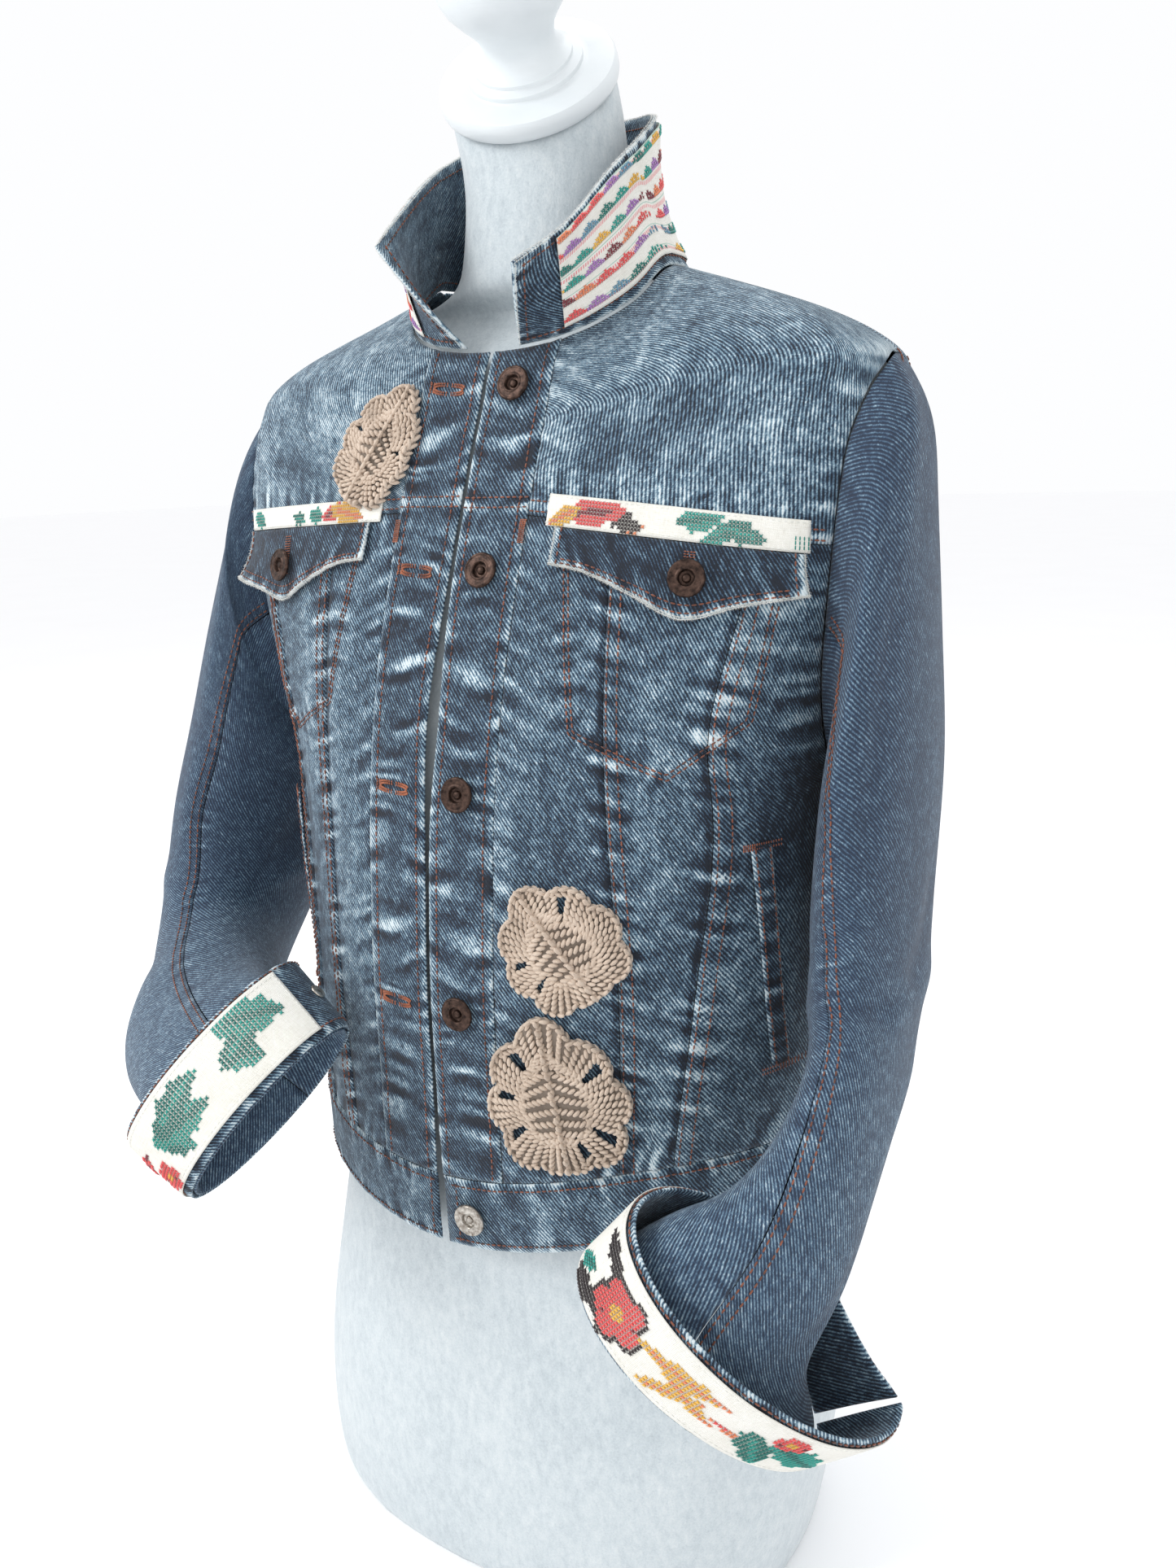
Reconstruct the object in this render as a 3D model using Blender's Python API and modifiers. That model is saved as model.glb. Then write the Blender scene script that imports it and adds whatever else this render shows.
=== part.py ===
# Denim trucker jacket, unbuttoned, on a limbless dress form.
# Frame: metres, +Z up, +X to the wearer's left, the front faces -Y.
# The origin is the middle of the dress form's flat underside.
# Tables and sizes are in millimetres, and MM turns them into metres.

import math

import bmesh
import bpy
import numpy as np
from mathutils import Matrix, Vector

MM = 0.001

# Driving sizes of the garment
HEM_HEIGHT = 215.0          # underside of the form to the hem at the centre front
DENIM = 1.5                 # one layer of denim
DOUBLE_DENIM = 2.4          # two layers, as in the plackets, band, collar and cuffs
SEAM_GAP = 0.34             # room between two pieces that are sewn together
LAID_GAP = 0.55             # room between a panel and what lies on it
PLACKET_WIDTH = 37.0
WAISTBAND_HEIGHT = 38.0
SHOULDER_TIP_Z = 425.0
UNDERARM_Z = 240.0
RIGHT_SHOULDER_DROP = 6.0      # the right sleeve is set in a little lower
CUFF_DEPTH = 46.0
BUTTON_DIAMETER = 17.0
PANEL_HOLE_GAP = 0.3        # room between a panel's edge and the armhole curve
SLEEVE_HEAD_GAP = 0.45      # room between the armhole curve and the sleeve's head
SLEEVE_SEAM_GAP = 0.3       # half the room between the two pieces of a sleeve
SLEEVE_HEAD_SWELL = 4.0     # how far the sleeve's head stands proud of a straight run
COLLAR_SEAM = 1.0           # the collar's lower edge stands this far off the neckline
STRIP_STAND = 0.7           # plackets and waistband stand this far proud of the panels
PLACKET_FOOT_GAP = 0.45     # extra room between a placket and the waistband
BACK_SEAM_SHARE = 0.56      # back seams, as a share of the half width

NAME = "denim_jacket_on_dress_form"

# Torso of the jacket, one row for each level above the hem. The right half
# hangs closer to the form than the left. left, right: half widths,
# front, back: Y of the middle, mid: Y of the side seam, square and
# square_right: how square the front of each half is.
TORSO = (
    (0, 166, 138, -114, 97, 0, 2.5, 2.0),
    (40, 164, 139, -115, 98, 0, 2.5, 2.0),
    (90, 162, 140, -115, 99, 0, 2.5, 2.0),
    (134, 161, 141, -115, 101, 0, 2.5, 2.0),
    (180, 160, 144, -112, 104, 1, 2.5, 2.02),
    (234, 162, 149, -106, 108, 3, 2.5, 2.08),
    (280, 166, 161, -96, 110, 4, 2.5, 2.2),
    (334, 176, 175, -78, 108, 4, 2.5, 2.4),
    (365, 181, 181, -66, 103, 4, 2.5, 2.5),
    (390, 184, 181, -56, 95, 4, 2.5, 2.5),
    (410, 187, 177, -47, 86, 4, 2.5, 2.5),
    (425, 186, 168, -41, 80, 4, 2.5, 2.5),
    (437, 170, 150, -34, 75, 8, 2.5, 2.5),
    (447, 149, 129, -24, 71, 13, 2.5, 2.5),
    (456, 125, 108, -13, 67, 18, 2.5, 2.5),
    (465, 98, 89, -3, 64, 23, 2.5, 2.5),
    (474, 70, 70, 6, 60, 28, 2.5, 2.5),
)

# Vertical seams of the fronts: height, X of the inner and the outer seam on
# the left front, then the same on the right front.
SEAMS = (
    (20, 96, 117, 62, 92),
    (67, 96, 119, 64, 94),
    (135, 97, 126, 67, 100),
    (228, 90, 132, 71, 110),
    (261, 87, 129, 73, 114),
    (320, 83, 139, 78, 130),
    (362, 80, 146, 79, 140),
)

# Neckline from the centre front round to the centre back, left half: share of
# the way, X and height.
NECKLINE_FRONT = (
    (0.0, 1.5, 435),
    (0.2, 18, 436),
    (0.4, 37, 439),
    (0.6, 54, 446),
    (0.8, 66, 457),
    (1.0, 70, 474),
)
NECKLINE_BACK = (
    (0.0, 70, 474),
    (0.35, 62, 471.5),
    (0.7, 36, 469),
    (1.0, 0, 468),
)

# Sleeves, one row for each section: share of the way from the armhole, at,
# front and side. at: middle of the section, front: half vector to the front or near side,
# side: half vector to the outer side.
SLEEVE_LEFT = (
    (0.12, (184, 4, 308), (0, -50, 6), (17, 0, 74)),
    (0.22, (185, 1, 268), (0, -60, 6), (20, 0, 48)),
    (0.33, (187, -4, 228), (0, -64, 8), (22, 2, 24)),
    (0.45, (189, -18, 184), (2, -61, 14), (23, 3, 8)),
    (0.57, (194, -42, 144), (2, -48, 26), (22, 5, 2)),
    (0.69, (200, -86, 105), (2, -24, 34), (18, 4, -4)),
    (0.80, (197, -140, 79), (5, -22, 10), (21, 8, -20)),
    (0.90, (180, -160, 55), (6, -24, -6), (25, 17, -34)),
    (1.00, (163, -156, 20), (7, -30, -9), (42, 22, -40)),
)
SLEEVE_RIGHT = (
    (0.12, (-177, 4, 303), (0, -50, 6), (-13, 0, 70)),
    (0.22, (-188, 5, 262), (0, -58, 6), (-24, 0, 46)),
    (0.33, (-202, 6, 222), (0, -60, 8), (-34, 0, 22)),
    (0.45, (-214, 2, 180), (-2, -60, 10), (-38, 0, 6)),
    (0.57, (-223, -8, 134), (4, -56, 18), (-40, -4, -6)),
    (0.68, (-220, -38, 90), (8, -42, 36), (-34, -12, -24)),
    (0.79, (-176, -98, 80), (2, -27, 32), (-28, -28, -27)),
    (0.90, (-107, -155, 97), (6, -16, 12), (-19, -27, -29)),
    (1.00, (-68.5, -157.5, 76), (8, -20, 14), (-22.5, -32, -35)),
)
SLEEVE_FRONT_SEAM = math.radians(105)

# Turned back cuffs: side, room that the free edge stands off at the outer tip
# and on the near side, turn of the slit, way the cuff points, and how far the
# far side closes up towards the outer tip.
CUFFS = (
    ("left", 5.0, 4.0, math.radians(-14), (-0.70, 0.06, -0.71), 0.62),
    ("right", 4.0, 2.0, math.radians(194), (0.86, -0.06, -0.50), 0.0),
)

# Upper edge of the standing collar, from the leaf point to the centre back:
# share of the way, point on the left and point on the right.
COLLAR_TOP = (
    (0.00, (37, -71, 467), (-47, -62, 483)),
    (0.20, (47, -43, 486), (-52, -36, 502)),
    (0.40, (56, -17, 511), (-56, -8, 521)),
    (0.60, (58, 13, 531), (-57, 18, 535)),
    (0.78, (49, 44, 547), (-49, 46, 548)),
    (0.90, (27, 66, 552), (-27, 66, 552)),
    (1.00, (0, 74, 553), (0, 74, 553)),
)

# Flaps of the breast pockets: X and height of the lower edge.
FLAP_LEFT = ((54, 337), (70, 334), (92, 325), (116, 314), (138, 319), (160, 323))
FLAP_RIGHT = ((54, 338), (70, 336), (92, 327), (112, 317), (136, 322), (158, 327))
FLAP_TOP_DROP = 4.5         # from the yoke seam down to the flap's top edge
FLAP_CORNER_LIFT_LEFT = 3.0
FLAP_CORNER_LIFT_RIGHT = 9.0
BAND_HEIGHTS = (14.0, 11.0)

# Welts of the side pockets: side, X of the upper and of the lower end.
WELTS = (("left", 147, 154), ("right", 122, 127))
WELT_HEIGHTS = (212, 103)
WELT_WIDTH = 11.0

# Crocheted leaves: name, X and height of the middle, way the tip points in
# degrees, length, width, how far each stands off the panel, to clear the band
# or placket that it overlaps, and the spokes where a slot is left open.
LEAVES = (
    ("leaf_chest", -57, 389, 62, 64, 46, 2.3, (9, 38)),
    ("leaf_upper", 72, 166, 128, 64, 60, 0.6, (9, 14, 42)),
    ("leaf_lower", 68, 90, 100, 82, 70, 1.4, (3, 9, 15, 26, 30, 40)),
)
LEAF_LOBES = 8
LEAF_SPOKES = 48
LEAF_RINGS = (0.1, 0.5, 0.86, 1.0)
LEAF_SLOT_SPOKES = 2        # a slot is this many spokes wide
LEAF_RIM_DROP = 0.9         # the rim is this much thinner than the leaf
LEAF_THICKNESS = 2.6
LEAF_RELIEF = 1.6

BUTTON_HEIGHTS = (418, 334, 234, 129)
BUTTON_X = 18.5
FLAP_BUTTON_LIFT = 3.4
FLAP_BUTTON_LEFT = (117, 331)
FLAP_BUTTON_RIGHT = (-114, 334)

# Dress form under the jacket: height, room, and how far below the jacket's own
# level its section is read.
FORM_ROOM = (
    (10, 11, 0),
    (134, 10, 0),
    (234, 7.5, 0),
    (300, 5.5, 0),
    (365, 4, 0),
    (395, 3.2, 0.7),
    (415, 3.5, 1.9),
    (440, 4.4, 2.9),
    (456, 5.5, 3.2),
    (466, 7.0, 3.2),
)
# Hips: height, half width, Y of the front and of the back, X of the middle.
FORM_HIPS = (
    (-215, 150, -100, 110, 0),
    (-206, 154, -104, 114, 0),
    (-160, 158, -108, 118, 3),
    (-110, 158, -108, 116, 8),
    (-60, 151, -105, 106, 12),
    (-20, 142, -103, 92, 12),
)
FORM_SIDES = 28
# Neck: middle of each ring, half width, half depth, and tilt in degrees.
FORM_NECK = (
    (2, 16, 466, 54, 36, 2),
    (2, 17, 477, 48, 37, 5),
    (1, 18, 490, 45, 38, 9),
    (0, 20, 505, 42.5, 40, 14),
    (0, 20, 524, 42, 41.5, 24),
    (-1, 17, 543, 42, 42, 34),
    (-2, 11, 560, 42, 42, 44),
)
CAP_TILT_SIDE = 15.0

for old in list(bpy.data.objects):
    bpy.data.objects.remove(old)
collection = bpy.data.collections.new(NAME)
bpy.context.scene.collection.children.link(collection)


def column(table, value, index):
    """Smooth curve through one column of a table, read at value."""
    rows = np.array([row[0] for row in table], float)
    data = np.array([row[index] for row in table], float)
    slope = np.gradient(data, rows, axis=0)
    value = min(max(float(value), rows[0]), rows[-1])
    k = min(int(np.searchsorted(rows, value, side="right")) - 1, len(rows) - 2)
    step = rows[k + 1] - rows[k]
    t = (value - rows[k]) / step
    rise = data[k + 1] - data[k]
    return (data[k] + (3 * t * t - 2 * t ** 3) * rise
            + (t - 2 * t * t + t ** 3) * step * slope[k]
            + (t ** 3 - t * t) * step * slope[k + 1])


def power(value, exponent):
    """Power that keeps the sign."""
    return math.copysign(abs(value) ** exponent, value)


def smooth(t):
    t = min(max(t, 0.0), 1.0)
    return t * t * (3 - 2 * t)


def unit(vector):
    return vector / max(np.linalg.norm(vector), 1e-9)


def hem_z(x, front=True):
    """Height of the hem, which dips at the centre front."""
    if not front:
        return 19 + 7 * x / 166
    return (26 if x > 0 else 12) * smooth(abs(x) / 150)


def yoke_z(x):
    """Height of the front yoke seam, lower towards the armholes."""
    return 362 - (19 if x > 0 else 8) * (abs(x) / 175) ** 1.3


def back_yoke_z(x):
    return 338 + 4 * (abs(x) / 170) ** 2


def front_edge_x(side, z):
    """The open edge of a front: the plackets stand apart a little."""
    return side * (1.3 + 2.2 * math.exp(-((z - 268) / 38) ** 2) + 1.2 * smooth((90 - z) / 80))


def half_width(z, side):
    return column(TORSO, z, 1 if side >= 0 else 2)


def squareness(z, side, front):
    return column(TORSO, z, 7) if front and side < 0 else column(TORSO, z, 6)


def torso_raw(angle, z, front):
    """Point of the jacket's outer surface: angle 0 in the middle, + to the left."""
    reach = column(TORSO, z, 3 if front else 4)
    mid = column(TORSO, z, 5)
    bend = 2 / squareness(z, angle, front)
    shift = -0.2 if front else 0.2
    x = half_width(z, angle) * power(math.sin(angle), bend)
    y = mid + (reach - mid) * power(math.cos(angle), bend) + shift
    return np.array([x, y, z])


def torso_normal(angle, z, front):
    across = torso_raw(angle + 0.004, z, front) - torso_raw(angle - 0.004, z, front)
    low = max(z - 0.6, TORSO[0][0])
    up = torso_raw(angle, min(low + 1.2, 474), front) - torso_raw(angle, low, front)
    normal = np.cross(across, up)
    return unit(normal if front else -normal)


def angle_at_x(x, z, front=True):
    ratio = min(abs(x) / half_width(z, x), 1.0)
    return math.copysign(math.asin(ratio ** (squareness(z, x, front) / 2)), x)


def tip_z(side):
    """Height of the shoulder tip."""
    return SHOULDER_TIP_Z - (RIGHT_SHOULDER_DROP if side < 0 else 0)


def armhole(side, turn):
    """Armhole curve: turn 0 at the shoulder, a quarter turn at the front."""
    tip = tip_z(side)
    middle = (tip + UNDERARM_Z) / 2
    z = middle + (tip - middle) * math.cos(turn)
    front = math.sin(turn) >= 0
    width = (33 if front else 38) * abs(math.sin(turn)) ** 0.9
    reach = column(TORSO, z, 3 if front else 4) - column(TORSO, z, 5)
    share = min(width / abs(reach), 1.0)
    angle = side * math.acos(share ** (squareness(z, side, front) / 2))
    return angle, z, front


def sleeve_raw(side, turn, along):
    """Outer surface of a sleeve: turn round it, along from 0 at the armhole."""
    table = SLEEVE_LEFT if side > 0 else SLEEVE_RIGHT
    where = max(along, table[0][0])
    at = column(table, where, 1)
    ring = at + math.cos(turn) * column(table, where, 3) + math.sin(turn) * column(table, where, 2)
    if along < table[0][0]:
        start = torso_raw(*armhole(side, turn))
        ahead = at + math.cos(turn) * np.array(table[0][3]) + math.sin(turn) * np.array(table[0][2])
        share = along / table[0][0]
        normal = torso_normal(*armhole(side, turn))
        swell = SLEEVE_HEAD_SWELL * math.sin(math.pi * share) * normal
        return start + (ahead - start) * share + swell
    return ring


def sleeve_normal(side, turn, along):
    low = max(along - 0.01, 0.0)
    high = min(along + 0.01, 1.0)
    ahead = sleeve_raw(side, turn, high) - sleeve_raw(side, turn, low)
    round_it = sleeve_raw(side, turn + 0.02, along) - sleeve_raw(side, turn - 0.02, along)
    return unit(np.cross(round_it, ahead)) * side


def mitre(side, turn):
    """Direction in which panel and sleeve meet at the armhole, a layer long."""
    panel = torso_normal(*armhole(side, turn))
    sleeve = sleeve_normal(side, turn, 0.0)
    middle = unit(panel + sleeve)
    return middle * DENIM / max(float(middle @ panel), 0.55)


def make_object(name, mesh, colour, roughness, metallic=0.0):
    material = bpy.data.materials.new(name)
    material.use_nodes = True
    shader = material.node_tree.nodes["Principled BSDF"]
    shader.inputs["Base Color"].default_value = (*colour, 1)
    shader.inputs["Roughness"].default_value = roughness
    shader.inputs["Metallic"].default_value = metallic
    mesh.materials.append(material)
    mesh.shade_smooth()
    mesh.set_sharp_from_angle(angle=math.radians(35))
    thing = bpy.data.objects.new(name, mesh)
    collection.objects.link(thing)
    return thing


def ring_of(shape, points):
    return [shape.verts.new((p[0] * MM, p[1] * MM, (p[2] + HEM_HEIGHT) * MM)) for p in points]


def finish(shape, mesh):
    """Turn all faces outward and store the shape."""
    bmesh.ops.recalc_face_normals(shape, faces=shape.faces)
    if shape.calc_volume(signed=True) < 0:
        bmesh.ops.reverse_faces(shape, faces=shape.faces)
    shape.to_mesh(mesh)
    shape.free()


def wall(name, outer, inner, colour, roughness=0.85):
    """A cloth wall: two grids of points, joined round the rim."""
    rows = len(outer)
    cols = len(outer[0])
    mesh = bpy.data.meshes.new(name)
    shape = bmesh.new()
    top = [ring_of(shape, row) for row in outer]
    low = [ring_of(shape, row) for row in inner]
    for i in range(rows - 1):
        for j in range(cols - 1):
            k = j + 1
            shape.faces.new((top[i][j], top[i][k], top[i + 1][k], top[i + 1][j]))
            shape.faces.new((low[i][j], low[i + 1][j], low[i + 1][k], low[i][k]))
    for j in range(cols - 1):
        shape.faces.new((top[0][j + 1], top[0][j], low[0][j], low[0][j + 1]))
        shape.faces.new((top[-1][j], top[-1][j + 1], low[-1][j + 1], low[-1][j]))
    for i in range(rows - 1):
        shape.faces.new((top[i][0], top[i + 1][0], low[i + 1][0], low[i][0]))
        shape.faces.new((top[i + 1][-1], top[i][-1], low[i][-1], low[i + 1][-1]))
    finish(shape, mesh)
    return make_object(name, mesh, colour, roughness)


def steps(count):
    return [i / count for i in range(count + 1)]


def patch(left, right, bottom, top, cols, rows):
    """Coons patch between four edges, each a function of a share from 0 to 1."""
    corners = [np.array(bottom(0)), np.array(bottom(1)), np.array(top(0)), np.array(top(1))]
    grid = []
    for v in steps(rows):
        line = []
        for u in steps(cols):
            flat = ((1 - u) * (1 - v) * corners[0] + u * (1 - v) * corners[1]
                    + (1 - u) * v * corners[2] + u * v * corners[3])
            line.append((1 - v) * np.array(bottom(u)) + v * np.array(top(u))
                        + (1 - u) * np.array(left(v)) + u * np.array(right(v)) - flat)
        grid.append(line)
    return grid


def panel(name, grid, colour, front=True, out=0.0, thick=DENIM, edge=None):
    """Wall over a grid of (angle, z) on the torso; edge gives mitred ends."""
    outer = []
    inner = []
    for i, row in enumerate(grid):
        outer.append([])
        inner.append([])
        for j, (angle, z) in enumerate(row):
            normal = torso_normal(angle, z, front)
            point = torso_raw(angle, z, front) + out * normal
            inward = thick * normal
            if edge and edge(i, j) is not None:
                inward = edge(i, j)
            outer[-1].append(point)
            inner[-1].append(point - inward)
    return wall(name, outer, inner, colour)


DENIM_BLUE = (0.16, 0.24, 0.34)
DENIM_DARK = (0.10, 0.16, 0.26)
COTTON = (0.82, 0.80, 0.74)
CROCHET = (0.62, 0.53, 0.42)
COPPER = (0.20, 0.11, 0.08)
STEEL = (0.62, 0.60, 0.56)
PLUSH = (0.85, 0.86, 0.87)


def inset_line(x_of_z, z0, z1, gap, front=True):
    """Vertical edge at X x_of_z, gap millimetres in, between two heights."""
    def edge(v):
        z = z0 + (z1 - z0) * v
        return angle_at_x(x_of_z(z) + gap, z, front), z
    return edge


def level_line(z_of_x, left, right, gap, front=True):
    """Edge along a height z_of_x between the ends of two vertical edges."""
    def edge(u):
        angle = left[0] + (right[0] - left[0]) * u
        z = left[1] + (right[1] - left[1]) * u
        for _ in range(3):
            z = z_of_x(torso_raw(angle, z, front)[0]) + gap
        return angle, z
    return edge


def band_top(x):
    return hem_z(x) + WAISTBAND_HEIGHT


def corner(z_of_x, x_of_z, gap):
    """Height where a vertical seam meets a level one."""
    z = z_of_x(x_of_z(200.0))
    for _ in range(4):
        z = z_of_x(x_of_z(z)) + gap
    return z


def seam_line(side, index):
    """X of a vertical seam of the front: index 1 the inner, 2 the outer."""
    return lambda z: side * column(SEAMS, z, index + (2 if side < 0 else 0))


def placket_line(side):
    return lambda z: side * PLACKET_WIDTH


def front_strip(name, side, inner_line, outer_line, cols, rows):
    """Front piece between two vertical seams, from the band to the yoke."""
    half = SEAM_GAP / 2
    edges = []
    for line, sign in ((inner_line, 1), (outer_line, -1)):
        low = corner(band_top, line, half)
        high = corner(yoke_z, line, -half)
        edges.append(inset_line(line, low, high, side * sign * half))
    left, right = edges
    bottom = level_line(band_top, left(0), right(0), half)
    top = level_line(yoke_z, left(1), right(1), -half)
    return panel(name, patch(left, right, bottom, top, cols, rows), DENIM_BLUE)


def armhole_edge(side, first, last):
    """Edge that follows the armhole between two turns, kept clear of it."""
    def edge(v):
        turn = first + (last - first) * v
        angle, z, _ = armhole(side, turn)
        middle = (tip_z(side) + UNDERARM_Z) / 2
        scale = 1 + 1.5 * PANEL_HOLE_GAP / 40
        if abs(math.sin(turn)) > 0.15:
            angle = side * (abs(angle) - PANEL_HOLE_GAP / 60)
        return angle, middle + (z - middle) * scale
    return edge


def front_turn_at_yoke(side):
    """Turn of the armhole where the yoke seam reaches it."""
    low, high = 0.3, 2.2
    for _ in range(40):
        turn = (low + high) / 2
        angle, z, _ = armhole(side, turn)
        x = torso_raw(angle, z, True)[0]
        if z > yoke_z(x):
            low = turn
        else:
            high = turn
    return turn


def back_seam(side):
    """X of the vertical seam of the back."""
    return lambda z: side * BACK_SEAM_SHARE * half_width(z, side)


def back_band_top(x):
    return hem_z(x, False) + WAISTBAND_HEIGHT


def side_panel(side, front):
    """Panel under the arm: side seam below, armhole above."""
    half = SEAM_GAP / 2
    tag = "left" if side > 0 else "right"
    line = seam_line(side, 2) if front else back_seam(side)
    last = front_turn_at_yoke(side) if front else 2 * math.pi - back_turn_at_yoke(side)
    floor = band_top if front else back_band_top
    roof = yoke_z if front else back_yoke_z
    left = inset_line(line, corner(floor, line, half), corner(roof, line, -half),
                      side * half, front)
    share = 0.5
    start_z = floor(side * half_width(40, side)) + half

    def hole(v):
        turn = math.pi + (last - math.pi) * (v - share) / (1 - share)
        return armhole_edge(side, turn, turn)(0)

    def right(v):
        if v <= share:
            return side * math.pi / 2, start_z + (hole(share)[1] - start_z) * v / share
        if v > 0.999:
            return hole(1)[0], hole(1)[1] - half
        return hole(v)

    bottom = level_line(floor, left(0), right(0), half, front)
    top = level_line(roof, left(1), right(1), -half, front)
    rows = 12
    cols = 4
    grid = patch(left, right, bottom, top, cols, rows)

    def edge(i, j):
        v = i / rows
        if j < cols or v <= share + 0.001:
            return None
        return mitre(side, math.pi + (last - math.pi) * (v - share) / (1 - share))

    kind = "front" if front else "back"
    return panel(f"{kind}_side_panel_{tag}", grid, DENIM_BLUE, front, edge=edge)


def back_turn_at_yoke(side):
    """Turn of the armhole, measured backwards, where the back yoke ends."""
    low, high = 0.3, 2.6
    for _ in range(40):
        turn = (low + high) / 2
        angle, z, _ = armhole(side, -turn)
        x = torso_raw(angle, z, False)[0]
        if z > back_yoke_z(x):
            low = turn
        else:
            high = turn
    return turn


def ridge(share, side):
    """Shoulder seam, from the neck to the shoulder tip: its height."""
    return 474 + (tip_z(side) - 474) * share


def front_yoke(side):
    half = SEAM_GAP / 2
    tag = "left" if side > 0 else "right"
    line = placket_line(side)
    low = corner(yoke_z, line, half)
    neck_part = 0.42
    neck_start = 0.4

    def top(u):
        if u < neck_part:
            share = neck_start + (1 - neck_start) * u / neck_part
            z = column(NECKLINE_FRONT, share, 2) - half
            if u == 0:
                return angle_at_x(line(z) + side * half, z), z
            return angle_at_x(side * column(NECKLINE_FRONT, share, 1), z), z
        return side * math.pi / 2, ridge((u - neck_part) / (1 - neck_part), side)

    high = top(0)[1]
    left = inset_line(line, low, high, side * half)
    last = front_turn_at_yoke(side)
    hole = armhole_edge(side, last, 0.0)
    rows = 9
    cols = 9

    def right(v):
        angle, z = hole(v)
        if v == 0:
            z += half
        if v > 0.999:
            return side * math.pi / 2, ridge(1.0, side)
        return angle, z

    bottom = level_line(yoke_z, left(0), right(0), half)
    grid = patch(left, right, bottom, top, cols, rows)

    def edge(i, j):
        if j < cols:
            return None
        return mitre(side, last * (1 - i / rows))

    return panel(f"front_yoke_{tag}", grid, DENIM_BLUE, edge=edge)


def back_yoke():
    half = SEAM_GAP / 2
    last = {side: back_turn_at_yoke(side) for side in (-1, 1)}
    rows = 9
    cols = 20
    neck_share = 0.38

    def top(u):
        side = 1 if u >= 0.5 else -1
        across = abs(u - 0.5) * 2
        if across < neck_share:
            share = 1 - across / neck_share
            z = column(NECKLINE_BACK, share, 2) - half
            return angle_at_x(side * column(NECKLINE_BACK, share, 1), z, False), z
        return side * math.pi / 2, ridge((across - neck_share) / (1 - neck_share), side)

    def hole(side):
        def edge(v):
            turn = -last[side] * (1 - v)
            angle, z = armhole_edge(side, turn, turn)(0)
            if v == 0:
                z += half
            if v > 0.999:
                return side * math.pi / 2, ridge(1.0, side)
            return angle, z
        return edge

    left = hole(-1)
    right = hole(1)
    bottom = level_line(back_yoke_z, left(0), right(0), half, False)
    grid = patch(left, right, bottom, top, cols, rows)

    def edge(i, j):
        if 0 < j < cols:
            return None
        side = -1 if j == 0 else 1
        return mitre(side, -last[side] * (1 - i / rows))

    return panel("back_yoke", grid, DENIM_BLUE, False, edge=edge)


def back_centre():
    half = SEAM_GAP / 2
    left, right = [
        inset_line(back_seam(side), corner(back_band_top, back_seam(side), half),
                   corner(back_yoke_z, back_seam(side), -half), -side * half, False)
        for side in (-1, 1)]
    bottom = level_line(back_band_top, left(0), right(0), half, False)
    top = level_line(back_yoke_z, left(1), right(1), -half, False)
    grid = patch(left, right, bottom, top, 8, 12)
    return panel("back_centre_panel", grid, DENIM_BLUE, False)


def placket(side):
    """Doubled strip down the front edge, from the neck to the waistband."""
    tag = "left" if side > 0 else "right"
    half = SEAM_GAP / 2
    grid = []
    rows = 18
    for v in steps(rows):
        row = []
        for u in steps(2):
            low = band_top(side * (2 + (PLACKET_WIDTH - 3) * u)) + half + PLACKET_FOOT_GAP
            high = column(NECKLINE_FRONT, 0.4 * u, 2) - half
            z = low + (high - low) * v
            x0 = front_edge_x(side, z)
            x = x0 + (side * (PLACKET_WIDTH - half) - x0) * u
            row.append((angle_at_x(x, z), z))
        grid.append(row)
    panel(f"placket_{tag}", grid, DENIM_DARK, out=STRIP_STAND, thick=DOUBLE_DENIM)


def waistband():
    """Doubled band round the hem, open at the centre front."""
    outer = []
    inner = []
    cols = 48
    for k in range(3):
        rise = WAISTBAND_HEIGHT * k / 2
        top_row = []
        low_row = []
        for j in range(cols + 1):
            along = j / cols
            if along <= 0.25:
                front, share, side = True, along / 0.25, 1
            elif along < 0.75:
                front, share, side = False, (0.75 - along) / 0.25 - 1, 1
            else:
                front, share, side = True, (1 - along) / 0.25, -1
            if front:
                x_near = abs(front_edge_x(side, rise))
                angle = angle_at_x(side * x_near, rise)
                angle = angle + (side * math.pi / 2 - angle) * share
            else:
                angle = share * math.pi / 2
            z = rise
            for _ in range(2):
                z = hem_z(torso_raw(angle, z, front)[0], front) + rise
            if k == 2:
                z -= SEAM_GAP
            shift = np.array([0, 0.2 if front else -0.2, 0])
            normal = torso_normal(angle, z, front)
            point = torso_raw(angle, z, front) + shift + STRIP_STAND * normal
            top_row.append(point)
            low_row.append(point - DOUBLE_DENIM * normal)
        outer.append(top_row)
        inner.append(low_row)
    wall("waistband", outer, inner, DENIM_DARK)


def neckline(side, share):
    """Neckline point and the panel's normal; share 0 front to 1 back."""
    split = 0.55
    if share <= split:
        part = share / split
        front = True
        table = NECKLINE_FRONT
    else:
        part = (share - split) / (1 - split)
        front = False
        table = NECKLINE_BACK
    x = side * column(table, part, 1)
    z = column(table, part, 2)
    angle = angle_at_x(x, z)
    point = torso_raw(angle, z, front)
    point[1] += 0.2 if front else -0.2
    return point, torso_normal(angle, z, front)


def collar_point(side, share, rise):
    """Outer surface of the collar: share 0 at the leaf point, 1 at the back."""
    start = 0.09
    base, _ = neckline(side, start + (1 - start) * share)
    top = column(COLLAR_TOP, share, 1 if side > 0 else 2)
    up = unit(top - base)
    base = base + up * COLLAR_SEAM
    away = unit(np.cross(up, np.cross(np.array([0, 0, 1.0]), base - np.array([0, 28, base[2]]))))
    hollow = math.sin(math.pi * rise) * (2.0 - 6.0 * smooth((share - 0.15) / 0.4))
    return base + (top - base) * rise + away * (-hollow)


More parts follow.
